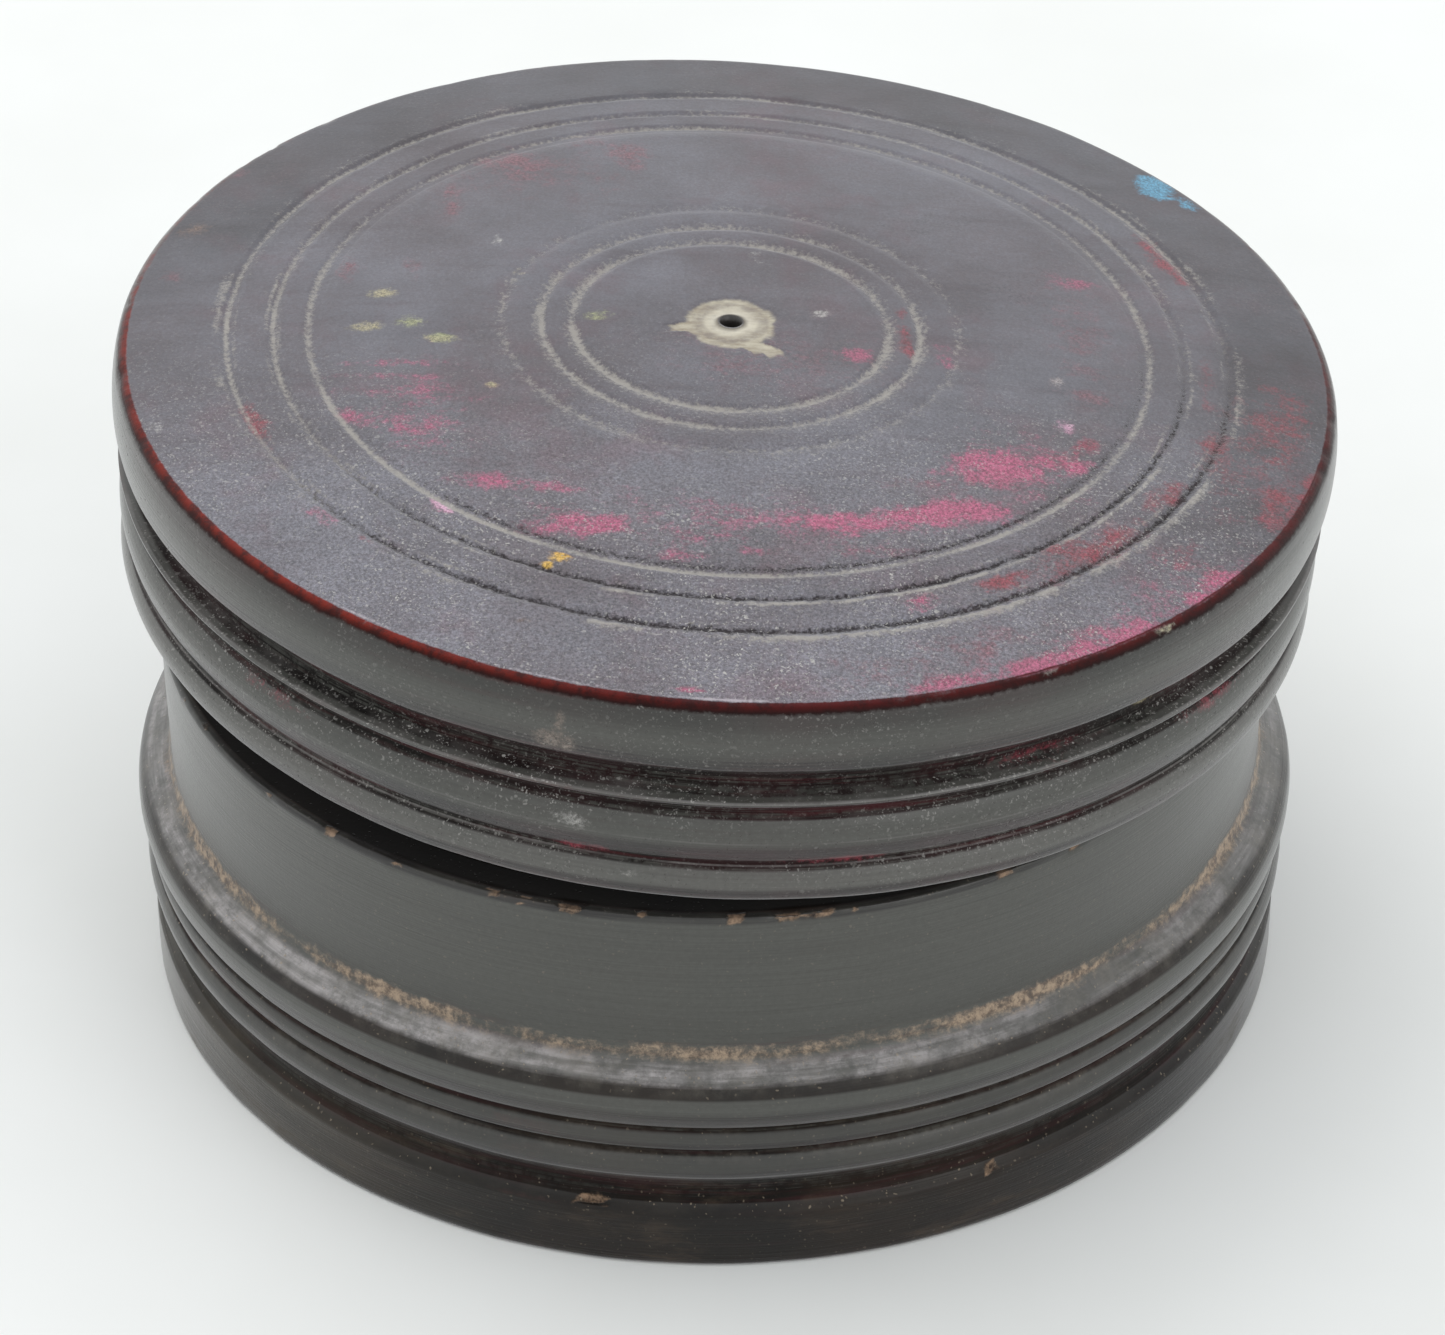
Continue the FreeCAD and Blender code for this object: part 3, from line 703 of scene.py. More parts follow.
def make_lid(material):
    """The lid, with its turned lines, worn arris, torn knob hole and inks."""
    inside = trace(LID_SIDE[:3], 1.6)
    outside = trace(LID_SIDE[2:], 0.28)[1:]
    hole = trace(((HOLE_RADIUS, LID_TOP_MIDDLE), (HOLE_RADIUS, HOLE_BOTTOM), (0, HOLE_BOTTOM)),
                 HOLE_RADIUS)
    points = np.concatenate([inside, outside, lid_top_points(), hole[1:]])
    lathe = Turning(points, SEGMENTS)
    x, y, z = lathe.places()
    radius, turn, around = lathe.radius, lathe.turns, lathe.around
    top = (lathe.out[:, 1:] > 0.9) & (radius > HOLE_RADIUS) & (z > 15)
    side = (radius > 43) & ~top
    edge, crease = lathe.bends(0.5, 4.0, side)
    cavity = lathe.bends(1.2, 3.4, side)[1]
    push = 0.035 * around(6.0, 3) + 0.02 * field(x / 7, y / 7, z / 3, 5, 2)
    arris = smooth(np.abs(z - ARRIS_HEIGHT), 0.56, 0.12) * (radius > 44.1)
    # A pale line round the rim's top edge: dust and a painted highlight.
    rim_dust_and_highlight = smooth(np.abs(radius - RIM_LINE_RADIUS), 0.32, 0.08) * (z > 16.55)
    nicks = smooth(field(x / 1.3, y / 1.3, z / 1.3, 7, 2), 0.28, 0.7)
    push = push - 0.16 * arris * nicks - 0.05 * edge * (0.5 + around(1.2, 8))
    line_dust = np.zeros_like(radius)
    line_shade = np.zeros_like(radius)
    a, b, c, d, e, f = TURNED_LINES
    wander = 0.05 * around(4.0, 11)
    shaded_lines_side = smooth(towards(turn, SHADED_LINES_SIDE), -0.2, 0.75)
    for middle, half, depth, dust in ((a, 0.58, 0.3, 1.35), (b, 0.48, 0.26, 1.2),
                                      (c, 0.6, 0.14, 0.7), (d, 0.44, 0.26, 1.2)):
        fade = 0.75 + 0.45 * around(2.0, int(middle * 10), 3)
        groove = cut(radius, middle + wander, half, 0.8) * top
        push = push - depth * groove * np.clip(fade, 0.3, 1.1)
        settled = cut(radius, middle + wander + 0.06, half * 0.95, 0.6) * top
        line_dust = np.maximum(line_dust, dust * fade * settled)
    inner = cut(radius, d - 0.55 + wander, 0.36, 0.6) * top
    push = push - 0.12 * inner
    # Line d's inner side is darkened: painted shade in the groove.
    line_shade = np.maximum(line_shade, inner * shaded_lines_side * (0.75 + 0.3 * around(2.0, 13)))
    for middle, half in ((e, 0.42), (f, 0.55)):
        chip = 0.14 * field(x / 0.7, y / 0.7, z * 0, 15, 2)
        shape = cut(radius, middle + wander + chip, half, 0.8) * top
        push = push - 0.26 * shape * np.clip(0.8 + 0.6 * around(1.3, 17), 0.3, 1.2)
        # Lines e and f darkened on one side of the lid: painted shade in the grooves.
        line_shade_unevenness = np.clip(1.0 + 0.5 * around(0.9, 19), 0, 1)
        line_shade = np.maximum(line_shade, shape * shaded_lines_side * line_shade_unevenness)
        outer_lip = cut(radius, middle + half + 0.1 + wander + chip, 0.3, 0.6) * top
        inner_lip = cut(radius, middle - half - 0.02 + wander - chip, 0.2, 0.6) * top
        chipped_side = smooth(towards(turn, CHIPPED_SIDE), 0.84, 0.98)
        crumbly = np.clip(0.42 + 0.4 * chipped_side + 1.2 * around(1.1, 23, 4), 0, 1)
        line_dust = np.maximum(line_dust, outer_lip * crumbly)
        line_dust = np.maximum(line_dust, inner_lip * crumbly[:, ::-1] * 0.8)
        filled = cut(radius, middle + wander, 0.34, 0.6) * top
        line_dust = np.maximum(line_dust, filled * (1 - shaded_lines_side) * (1.0 + 0.5 * around(2.2, 27)))
    crumbs = patch(x, y, 22.5, -29.3, 6.5, 2.6, 50) * cut(radius, f + 0.55, 0.65, 0.5) * top
    crumbs = crumbs * smooth(field(x / 0.6, y / 0.6, z * 0, 25, 3), -0.25, 0.35)
    line_dust = np.maximum(line_dust, crumbs)
    # Painted light on the top: a painted sheen lightens the outer ring towards one side and that
    # ring is darker elsewhere; the middle and back are darker; two noise fields add random
    # unevenness.
    bright = smooth(towards(turn, SHEEN_SIDE), -0.1, 0.75)
    tone = 1 + smooth(radius, 35.0, 38.5) * (0.42 * bright - 0.34)
    tone = tone + 0.14 * field(x / 9, y / 7, z * 0, 28, 2)
    tone = tone + 0.14 * field(x / 2.6, y / 1.5, z * 0, 29, 3)
    tone = tone * (1.02 - 0.17 * smooth(y, -28, -5))
    torn = field(x / 1.1, y / 1.1, z * 0, 41, 3)
    blotch = np.maximum.reduce([
        patch(x, y, 0.1, -0.2, 3.3, 3.5) + 0.35 * torn,
        patch(x, y, 2.2, -3.5, 2.0, 0.75, -22) + 0.35 * torn,
        patch(x, y, -3.4, -0.9, 1.0, 0.6, 15) + 0.35 * torn,
    ]) * top
    bare = smooth(blotch, 0.2, 0.85)
    push = push - bare * (0.12 + 0.1 * np.clip(torn, -0.5, 1)) * (radius > HOLE_RADIUS + 0.1)
    outer = (radius > 1.0) & (z > 0.5) | (radius > 41.2)
    lathe.push(push * outer * (radius > HOLE_RADIUS + 0.01))
    front = smooth(-y, -30, 40)
    worn = np.clip(1.0 + 0.4 * around(1.4, 52), 0.85, 1) * (0.4 + 0.6 * smooth(-y, -30, 10))
    rim_line_breaks = np.clip(0.75 + 0.9 * around(1.2, 53), 0, 1)
    lathe.layers = {
        "edge": edge * np.clip(0.65 + 0.7 * around(1.6, 51), 0, 1),
        "arris": arris * worn,
        "rim_dust_and_highlight": rim_dust_and_highlight * rim_line_breaks * smooth(towards(turn, RIM_LINE_SIDE), 0.72, 0.95),
        "crease": crease,
        "cavity": cavity,
        "line_dust": np.clip(line_dust, 0, 1.3) * np.clip(0.6 + 0.5 * front, 0, 1),
        "line_shade": np.clip(line_shade, 0, 1) * np.clip(0.35 + 0.75 * front, 0, 1),
        "bare": bare,
        "tone": np.clip(tone, 0.3, 1.8),
        "top": top * 1.0,
    }
    side_stains = [(math.radians(azimuth % 360) * SIDE_RADIUS, height, length, tall, 0, *ink)
                   for azimuth, height, length, tall, *ink in SIDE_SPOTS]
    lathe.colours = {"ink": stain_colours(x, y, STAINS) * top[..., None]
                     + stain_colours(turn * SIDE_RADIUS, z, side_stains) * side[..., None]}
    lid = lathe.build("lid_turned", material)
    lid.matrix_world = lid_matrix()
    bpy.context.view_layer.update()
    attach(lid, "lid")
    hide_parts("lid")


# ---------------------------------------------------------------- base

BASE_OUTLINE = (
    (0, 0.8), (33.0, 0.8), (33.0, 0), (43.1, 0), (43.4, 0.3), (43.4, 4.8), (42.6, 5.5),
    (42.9, 7.9, -0.5), (43.0, 10.6, 0.85), (43.1, 12.7, 0.55), (43.95, 16.2, 0.6),
    (43.5, 16.8), (41.8, 17.8), (41.5, 19.0), (41.75, 30.2), (41.55, 30.4), (38.6, 30.4),
    (38.6, 34.0), (38.2, 34.4), (35.4, 34.4), (35.0, 34.0), (35.0, 18.0), (0, 18.0),
)
BASE_WALL_TOP = 30.2
FOOT_TOP = 4.9
LEDGE_DIRT_HEIGHT = 18.3
LEDGE_SLOPE_HEIGHT = 17.25
# Chips in the base's shoulder: azimuth in degrees, half length in mm, depth in mm.
SHOULDER_CHIPS = (
    (-104.0, 0.9, 0.3), (-108.5, 0.4, 0.15), (-112.0, 0.5, 0.2), (-97.0, 0.4, 0.15),
    (-88.0, 0.6, 0.16), (-82.0, 1.5, 0.42), (-79.0, 0.7, 0.25), (-60.0, 1.2, 0.25),
    (-53.0, 0.9, 0.3), (-122.0, 0.5, 0.2), (-131.0, 0.4, 0.18), (-140.0, 0.4, 0.15),
    (-30.0, 0.7, 0.2), (12.0, 0.9, 0.25), (55.0, 0.6, 0.2), (97.0, 1.1, 0.3), (150.0, 0.8, 0.2),
)
FOOT_CHIPS = ((-101.6, 1.9, 0.4), (-62.0, 0.8, 0.18), (20.0, 1.4, 0.25), (130.0, 1.0, 0.25))


def chips(turn, height, radius, marks, at_height, reach):
    """How much of each chip in a list lies at each point."""
    total = np.zeros_like(radius)
    depth = np.zeros_like(radius)
    for azimuth, half, deep in marks:
        away = (turn - math.radians(azimuth) + math.pi) % (2 * math.pi) - math.pi
        here = patch(away * radius, height, 0, at_height, half, reach)
        total = np.maximum(total, here)
        depth = np.maximum(depth, here * deep)
    return total, depth


def make_base(material):
    """The base: foot band, two beads, ledge, plain wall, chipped shoulder, spigot and well."""
    points = np.concatenate([
        trace(BASE_OUTLINE[:4], 2.5),
        trace(BASE_OUTLINE[3:17], 0.29)[1:],
        trace(BASE_OUTLINE[16:21], 0.5)[1:],
        trace(BASE_OUTLINE[20:], 1.3)[1:],
    ])
    lathe = Turning(points, SEGMENTS)
    x, y, z = lathe.places()
    radius, turn, around = lathe.radius, lathe.turns, lathe.around
    outer = (radius > 41) & (z > 0.2)
    edge, crease = lathe.bends(0.6, 4.0, outer)
    cavity = lathe.bends(1.2, 3.4, outer)[1]
    torn = field(x / 0.8, y / 0.8, z / 0.8, 61, 3)
    push = 0.05 * around(7.0, 62) + 0.02 * field(x / 6, y / 6, z / 2, 63, 2)
    push = push - 0.07 * edge * np.clip(0.4 + around(0.9, 64, 3), 0, 1)
    shoulder, shoulder_depth = chips(turn, z, radius, SHOULDER_CHIPS, BASE_WALL_TOP, 0.55)
    foot, foot_depth = chips(turn, z, radius, FOOT_CHIPS, FOOT_TOP, 0.6)
    ragged = smooth(torn, -0.6, 0.2)
    rim = smooth(np.abs(z - BASE_WALL_TOP), 0.5, 0.1) * (radius > 41.2)
    small = smooth(field(x / 0.9, y / 0.9, z / 2.0, 66, 2), 0.42, 0.62) * rim
    push = push - (shoulder_depth + foot_depth) * ragged - 0.1 * small
    lathe.push(push * outer)
    ledge = smooth(np.abs(z - LEDGE_DIRT_HEIGHT), 1.0, 0.2) * (radius > 41.2)
    slope = smooth(np.abs(z - LEDGE_SLOPE_HEIGHT), 0.68, 0.25) * (radius > 41.2)
    broken = np.maximum(np.maximum(shoulder, foot) * ragged, 0.8 * small)
    lathe.layers = {
        "edge": edge * np.clip(0.6 + 0.7 * around(1.6, 71), 0, 1),
        "crease": crease,
        "cavity": cavity * (z < 16.0),
        "ledge": ledge * np.clip(0.75 + 0.6 * around(1.8, 72, 3), 0, 1),
        "slope": slope,
        "bare": np.clip(broken, 0, 1) * outer,
        "outer": outer * 1.0,
    }
    base = lathe.build("base_turned", material)
    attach(base, "base")
    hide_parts("base")


# ---------------------------------------------------------------- materials


LACQUER = (0.0075, 0.006, 0.0052)
LACQUER_MAROON = (0.019, 0.007, 0.0075)
LACQUER_RED = (0.055, 0.009, 0.012)
LACQUER_BROWN = (0.015, 0.01, 0.007)
FILM = (0.068, 0.069, 0.061)
# A lighter copy of the film for the lid's lowest bead: painted light.
LIT_RIM_FILM = (0.098, 0.097, 0.088)
RELIEF = 0.00006
THREADS_PER_METRE = 1500.0
SHEEN = {"Sheen_Weight": 0.36, "Sheen_Roughness": 0.4}


class Lacquer(Graph):
    """What the two lacquered pieces share: dark coat, grey film with painted light and shade in its
    spread, wear, turning marks.
    """

    def __init__(self, name, seed):
        super().__init__(name)
        self.up = self.split(self.node("ShaderNodeNewGeometry").outputs["Normal"])[2]
        self.fine = self.noise(1300, 3, 0.6, seed=seed)
        self.mottle = self.noise(2600, 2, 0.6, seed=seed + 0.3)
        self.cloud = self.noise(70, 5, 0.6, seed=seed + 0.6)
        self.round_marks = self.streaks((70, 70, 1700), 4, 0.65, seed + 1)
        self.fine_marks = self.streaks((40, 40, 6000), 3, 0.7, seed + 2)

    def coat(self, film_high, cloud_tint, streak_tint):
        """Paints dark lacquer, redder in places, and returns the mask of the grey film over it.

        Undersides and hollows lack the film, apart from streaks, as painted shade; on upward faces
        the film also stands for reflected light.
        """
        red = self.window(self.round_marks, 0.5, 0.72)
        self.colour = self.mix(self.window(self.cloud, 0.4, 0.62), LACQUER, cloud_tint)
        self.paint(red, streak_tint, 0.35)
        # The film spreads over upward faces and leaves undersides and hollows dark: a dust film
        # with painted light and shade in it.
        film_and_shade = self.times(self.window(self.up, -0.3, film_high, 0.0, 0.95),
                          self.window(self.fine_marks, 0.25, 0.65, 0.78, 1.0),
                          self.window(self.mottle, 0.3, 0.7, 0.84, 1.0))
        hollow = self.window(self.attribute("cavity"), 0.06, 0.45)
        streaks = self.times(self.window(self.fine_marks, 0.44, 0.6),
                             self.window(self.fine, 0.36, 0.58))
        return self.plus(self.besides(film_and_shade, hollow), self.times(hollow, streaks, 0.7))

    def wear(self, tint, most):
        """Paints red showing on the prominent edges."""
        self.paint(self.at_least(self.attribute("edge"), self.fine, 0.6, 0.75, 1.25), tint, most)

    def red_crease(self, low, high):
        """A mask of streaks along the creases between mouldings."""
        return self.times(self.window(self.attribute("crease"), 0.05, 0.5),
                          self.window(self.round_marks, low, high))

    def shade(self, *masks):
        """The specular level: none where the cavities or the other masks are full."""
        hollow = self.times(self.window(self.attribute("cavity"), 0.08, 0.5), 0.8)
        return self.window(self.most(hollow, *masks), 0.0, 1.0, 0.5, 0.0)


def paint_lid_side(g):
    """Film, fading as painted shade towards the band's top and lighter as painted light on the
    lowest bead, red creases, a painted highlight on each sharp edge and two faint tool lines.
    """
    film_and_shade = g.coat(0.02, LACQUER_MAROON, LACQUER_RED)
    # The film fades towards the top of the side band as painted shade, and is a lighter copy on the
    # lowest bead as painted light.
    film_and_shade = g.times(film_and_shade, g.window(g.z, 0.0138, 0.0158, 1.0, 0.4))
    g.paint(film_and_shade, g.mix(g.window(g.z, 0.0028, 0.0034), LIT_RIM_FILM, FILM))
    g.paint(g.red_crease(0.5, 0.66), LACQUER_RED, 0.55)
    g.wear((0.12, 0.03, 0.028), 0.35)
    # Painted highlights: thin pale lines on the shelf's edge and the lowest bead's top, fainter on
    # the upper bead.
    painted_highlights = g.most(g.inside(g.z, 0.00858, 0.00865, 0.00004),
                    g.inside(g.z, 0.00282, 0.00288, 0.00004),
                    g.times(g.inside(g.z, 0.00514, 0.00522, 0.00005), 0.4))
    broken = g.window(g.noise(160, 4, 0.7, seed=13.0), 0.36, 0.58, 0.15, 1.0)
    g.paint(g.times(painted_highlights, broken), (0.24, 0.225, 0.22), 0.4)
    tool_lines = g.most(g.inside(g.z, 0.012, 0.01212, 0.00007),
                        g.inside(g.z, 0.01236, 0.01244, 0.00006))
    g.paint(g.times(tool_lines, g.window(g.cloud, 0.4, 0.55, 0.15, 0.85)), (0.014, 0.011, 0.011))


def paint_lid_top(g, top, forward, grit):
    """Grey haze over maroon, with a faint straight grain, scaled by the tone layer, which holds
    painted light. Grit shows most towards the front.
    """
    below = g.colour
    grain = g.streaks((60, 480, 300), 5, 0.65, 3.0)
    haze_cloud = g.noise(60, 6, 0.62, seed=4.0)
    haze = g.window(g.blend(g.mottle, 0.45, haze_cloud), 0.48, 0.95)
    g.colour = g.mix(haze, (0.106, 0.09, 0.102), (0.152, 0.15, 0.176))
    maroon = g.window(g.noise(130, 6, 0.68, seed=5.0), 0.5, 0.66)
    g.paint(maroon, (0.135, 0.078, 0.096), 0.4)
    g.paint(g.window(grain, 0.5, 0.72, 0.0, 0.45), (0.078, 0.06, 0.072))
    gritty = g.blend(g.window(grit, 0.3, 0.72, -0.55, 0.55),
                    g.window(forward, 0.0, 1.0, 0.3, 1.0), 1.0)
    lit = g.scaled(g.colour, g.times(g.attribute("tone"), gritty))
    g.colour = g.mix(top, below, lit)


def paint_inks(g, grit, clumps):
    """Inks, worn into grains and streaks. It returns where they are."""
    ink, cover = g.attribute_colour("ink")
    streak = g.streaks((260, 1100, 900), 5, 0.7, 6.0)
    texture = g.blend(clumps, 0.6, g.times(streak, 0.4))
    patchy = g.window(g.noise(480, 5, 0.72, seed=6.8), 0.38, 0.6, 0.65, 1.25)
    inked = g.at_least(g.times(cover, patchy), texture, 2.2, 0.3, 1.05)
    g.paint(inked, g.scaled(ink, g.window(grit, 0.32, 0.68, 0.35, 1.45)), 0.92)
    return inked


def paint_arris(g, clumps, bare_of_ink):
    """The worn arris, deep red, brighter towards the left, with a pale line of dust and painted
    highlight on its upper edge.
    """
    tone = g.mix(g.window(g.x, -0.032, 0.004), (0.21, 0.014, 0.005), (0.08, 0.006, 0.006))
    tone = g.mix(g.window(g.noise(700, 5, 0.75, seed=7.5), 0.4, 0.62, 0.0, 0.8), tone,
                 (0.022, 0.004, 0.004))
    tone = g.mix(g.window(g.z, 0.0162, 0.0168, 0.95, 0.0), tone, (0.009, 0.0035, 0.0035))
    texture = g.blend(clumps, 0.5, g.times(g.fine, 0.5))
    arris = g.times(g.at_least(g.attribute("arris"), texture, 1.3, 0.25, 0.85), bare_of_ink)
    g.paint(arris, tone, 0.95)
    # The pale rim line: dust and a painted highlight.
    rim = g.at_least(g.attribute("rim_dust_and_highlight"), clumps, 1.6, 0.35, 0.95)
    g.paint(rim, (0.4, 0.36, 0.4), 0.85)
    return arris


def paint_scar(g):
    """Bare wood where the knob has torn away. It returns where that is."""
    bare = g.at_least(g.attribute("bare"), g.fine, 1.1, 0.15, 1.05)
    fibres = g.streaks((500, 1500, 900), 4, 0.7, 10.0)
    distance = g.axis_distance()
    lip = g.times(g.inside(distance, 0.0022, 0.0026, 0.0004), g.window(g.fine, 0.35, 0.6))
    wood = g.mix(g.window(fibres, 0.3, 0.7), (0.27, 0.225, 0.165), (0.5, 0.46, 0.36))
    wood = g.mix(g.times(lip, 0.45), wood, (0.13, 0.105, 0.105))
    wood = g.mix(g.window(distance, 0.001, 0.0026, 0.55, 0.0), wood, (0.68, 0.64, 0.54))
    # Darkest in and just round the knob hole: painted shade in the hole.
    wood = g.mix(g.window(distance, 0.0009, 0.0014, 0.85, 0.0), wood, (0.045, 0.03, 0.018))
    g.paint(bare, wood)
    return bare


def lid_grains(g, forward):
    """Fine dust, in grains and short fibres, mostly towards the front of the top."""
    jitter = g.jittered(0.0003, 2600)
    clots = g.window(g.noise(4600, 3, 0.8, seed=12.5), 0.61, 0.7)
    lint = g.streaks((300, 4200, 900), 2, 0.5, 12.8, distort=0.3, turn=(0.0, 0.0, 0.7))
    grains = g.most(g.specks(2900, 0.38, 0.36, jitter), g.specks(5000, 0.46, 0.5, jitter),
                    g.times(clots, 0.8), g.window(lint, 0.72, 0.78, 0.0, 0.7))
    where = g.times(g.window(g.noise(95, 5, 0.65, seed=11.0), 0.36, 0.62, 0.15, 1.0), forward)
    return g.times(grains, where, g.window(g.up, 0.2, 0.95, 0.26, 1.0))


def lid_lacquer():
    g = Lacquer("lid_lacquer", 1.0)
    top = g.attribute("top")
    side = g.rest(top)
    forward = g.window(g.y, -0.034, 0.004, 1.0, 0.1)
    grit = g.noise(4600, 3, 0.8, seed=5.5)
    clumps = g.noise(2600, 4, 0.75, seed=6.5)
    paint_lid_side(g)
    paint_lid_top(g, top, forward, grit)
    inked = paint_inks(g, grit, clumps)
    arris = paint_arris(g, clumps, g.rest(g.times(inked, side)))

    # Dust lying on upward faces of the side, dust in the turned lines, and painted shade darkening
    # the lines.
    dust_cloud = g.noise(260, 6, 0.7, seed=9.0)
    side_dust = g.times(g.window(g.up, 0.25, 0.95), g.window(dust_cloud, 0.38, 0.66), side)
    side_dust = g.besides(side_dust, arris)
    g.paint(side_dust, (0.15, 0.14, 0.132), 0.4)
    line = g.at_least(g.attribute("line_dust"), clumps, 2.4, 0.2, 1.00)
    g.paint(line, (0.345, 0.322, 0.29), 0.78)
    groove_shade = g.at_least(g.attribute("line_shade"), clumps, 2.6, 0.3, 0.95)
    g.paint(groove_shade, (0.022, 0.018, 0.019), 0.88)
    bare = paint_scar(g)
    grains = g.besides(lid_grains(g, forward), arris)
    g.paint(grains, (0.48, 0.465, 0.44), 0.9)

    dull = g.plus(g.times(top, 0.75), side_dust, bare, g.times(line, 0.6))
    dull = g.total(dull, g.times(arris, -0.5))
    roughness = g.blend(g.mottle, 0.16, g.window(dull, 0.0, 1.0, 0.22, 0.54))
    relief = g.total(g.times(g.fine_marks, side), g.times(g.mottle, 0.5),
                     g.times(grains, top, 1.2), g.times(g.plus(bare, line), g.fine, 2.0),
                     g.times(groove_shade, -1.5))
    specular = g.shade(g.times(arris, 0.8), g.times(groove_shade, 0.85))
    return g.finish(roughness, g.bump(relief, RELIEF, 0.6), specular, **SHEEN)


def paint_ledge(g):
    """A pale coat on the ledge's slope, dust and a painted reflection of the sky, weaker towards
    the right, and brown dirt packed above it. It returns where they are.
    """
    clumps = g.noise(1400, 4, 0.75, seed=25.5)
    texture = g.blend(clumps, 0.4,
                     g.times(g.streaks((240, 240, 620), 6, 0.7, 25.0), 0.6))
    slope = g.times(g.attribute("slope"),
                    g.window(g.noise(420, 5, 0.7, seed=24.0), 0.3, 0.6, 0.35, 1.0),
                    g.window(g.round_marks, 0.38, 0.6, 0.3, 1.0),
                    g.window(texture, 0.42, 0.54, 0.45, 1.0),
                    g.window(g.x, 0.004, 0.032, 1.0, 0.55))
    # The pale slope: dust and a painted reflection of the sky.
    g.paint(slope, (0.42, 0.395, 0.395), 0.9)
    dirt = g.at_least(g.attribute("ledge"), texture, 3.0, 0.25, 1.00)
    soil = g.mix(g.window(clumps, 0.36, 0.62), (0.11, 0.075, 0.055), (0.4, 0.3, 0.21))
    g.paint(dirt, soil, 0.85)
    return slope, dirt


def paint_grime(g, foot):
    """Dust on upward faces, grime low down, and a haze on the foot's left."""
    dust_cloud = g.noise(300, 6, 0.7, seed=24.6)
    up_dust = g.times(g.window(g.up, 0.15, 0.9), g.window(dust_cloud, 0.42, 0.68),
                      g.window(g.z, 0.006, 0.0085, 0.15, 1.0))
    g.paint(up_dust, (0.17, 0.155, 0.13), 0.4)
    where = g.plus(g.window(g.z, 0.0, 0.008, 1.0, 0.0),
                   g.window(g.attribute("crease"), 0.1, 0.5, 0.0, 0.6))
    blotches = g.streaks((130, 130, 520), 6, 0.72, 27.0)
    grime = g.times(where, g.window(blotches, 0.5, 0.72))
    g.paint(grime, (0.085, 0.06, 0.04), 0.55)
    haze = g.times(foot, g.window(g.x, -0.04, -0.01, 0.55, 0.0),
                   g.window(blotches, 0.35, 0.6, 0.5, 1.0))
    g.paint(haze, (0.075, 0.066, 0.05))
    return grime


def paint_base_inside(g, inner, bare):
    """Wood that was never lacquered, with ink on it, a dark line along the shoulder and the spigot
    painted near black, both painted shade of the gap under the lid; it returns the spigot's mask.
    """
    turned = g.streaks((70, 70, 1500), 5, 0.65, 29.0)
    wood = g.mix(g.window(turned, 0.35, 0.7), (0.07, 0.034, 0.022), (0.15, 0.082, 0.052))
    stain = g.window(g.noise(90, 5, 0.65, seed=30.0), 0.42, 0.62)
    g.paint(inner, g.mix(g.times(stain, 0.75), wood, (0.018, 0.008, 0.022)))
    # A dark line along the shoulder, just under the lid: painted shade of the gap.
    shoulder = g.times(g.inside(g.z, 0.0299, 0.03045, 0.0002),
                       g.window(g.round_marks, 0.4, 0.6, 0.5, 1.0),
                       g.window(bare, 0.3, 0.7, 1.0, 0.0))
    g.paint(shoulder, (0.01, 0.008, 0.008), 0.85)
    # The spigot painted near black: painted shade in the gap under the lid.
    spigot_shade = g.times(inner, g.window(g.axis_distance(), 0.038, 0.0385))
    g.paint(spigot_shade, (0.005, 0.004, 0.003), 0.95)
    return spigot_shade


def base_lacquer():
    g = Lacquer("base_lacquer", 21.0)
    film_and_shade = g.coat(0.0, LACQUER_BROWN, LACQUER_MAROON)
    foot = g.window(g.z, 0.0049, 0.0066, 1.0, 0.0)
    edge_band = g.inside(g.z, 0.016, 0.0167, 0.0003)
    film_and_shade = g.besides(film_and_shade, g.plus(g.times(foot, 0.92), g.times(edge_band, 0.9)))
    g.paint(g.times(film_and_shade, g.window(g.z, 0.0125, 0.0142, 0.55, 1.0)), FILM)
    g.paint(g.red_crease(0.46, 0.64), (0.04, 0.01, 0.012), 0.35)
    g.wear((0.085, 0.032, 0.03), 0.3)
    slope, dirt = paint_ledge(g)
    grime = paint_grime(g, foot)

    bare = g.at_least(g.attribute("bare"), g.fine, 0.9, 0.3, 0.75)
    g.paint(bare, g.mix(g.window(g.noise(900, 4, 0.7, seed=28.0), 0.36, 0.66),
                        (0.022, 0.014, 0.011), (0.3, 0.2, 0.13)))
    jitter = g.jittered(0.00022, 1900)
    grains = g.times(g.most(g.specks(1700, 0.14, 0.2, jitter), g.specks(3400, 0.34, 0.25, jitter)),
                     g.window(g.up, 0.2, 0.9, 0.24, 0.9))
    g.paint(grains, (0.33, 0.27, 0.2), 0.7)
    inner = g.rest(g.attribute("outer"))
    spigot_shade = paint_base_inside(g, inner, bare)

    dull = g.plus(g.times(slope, 0.4), dirt, bare, grime, inner)
    roughness = g.blend(g.mottle, 0.14, g.window(dull, 0.0, 1.0, 0.25, 0.68))
    relief = g.total(g.blend(g.mottle, 0.4, g.fine_marks),
                     g.times(g.plus(bare, dirt), g.fine, 2.5),
                     g.times(grains, g.window(g.up, 0.3, 0.9)))
    specular = g.shade(g.times(foot, 0.55), g.times(edge_band, 0.5), spigot_shade)
    return g.finish(roughness, g.bump(relief, RELIEF, 0.6), specular, **SHEEN)


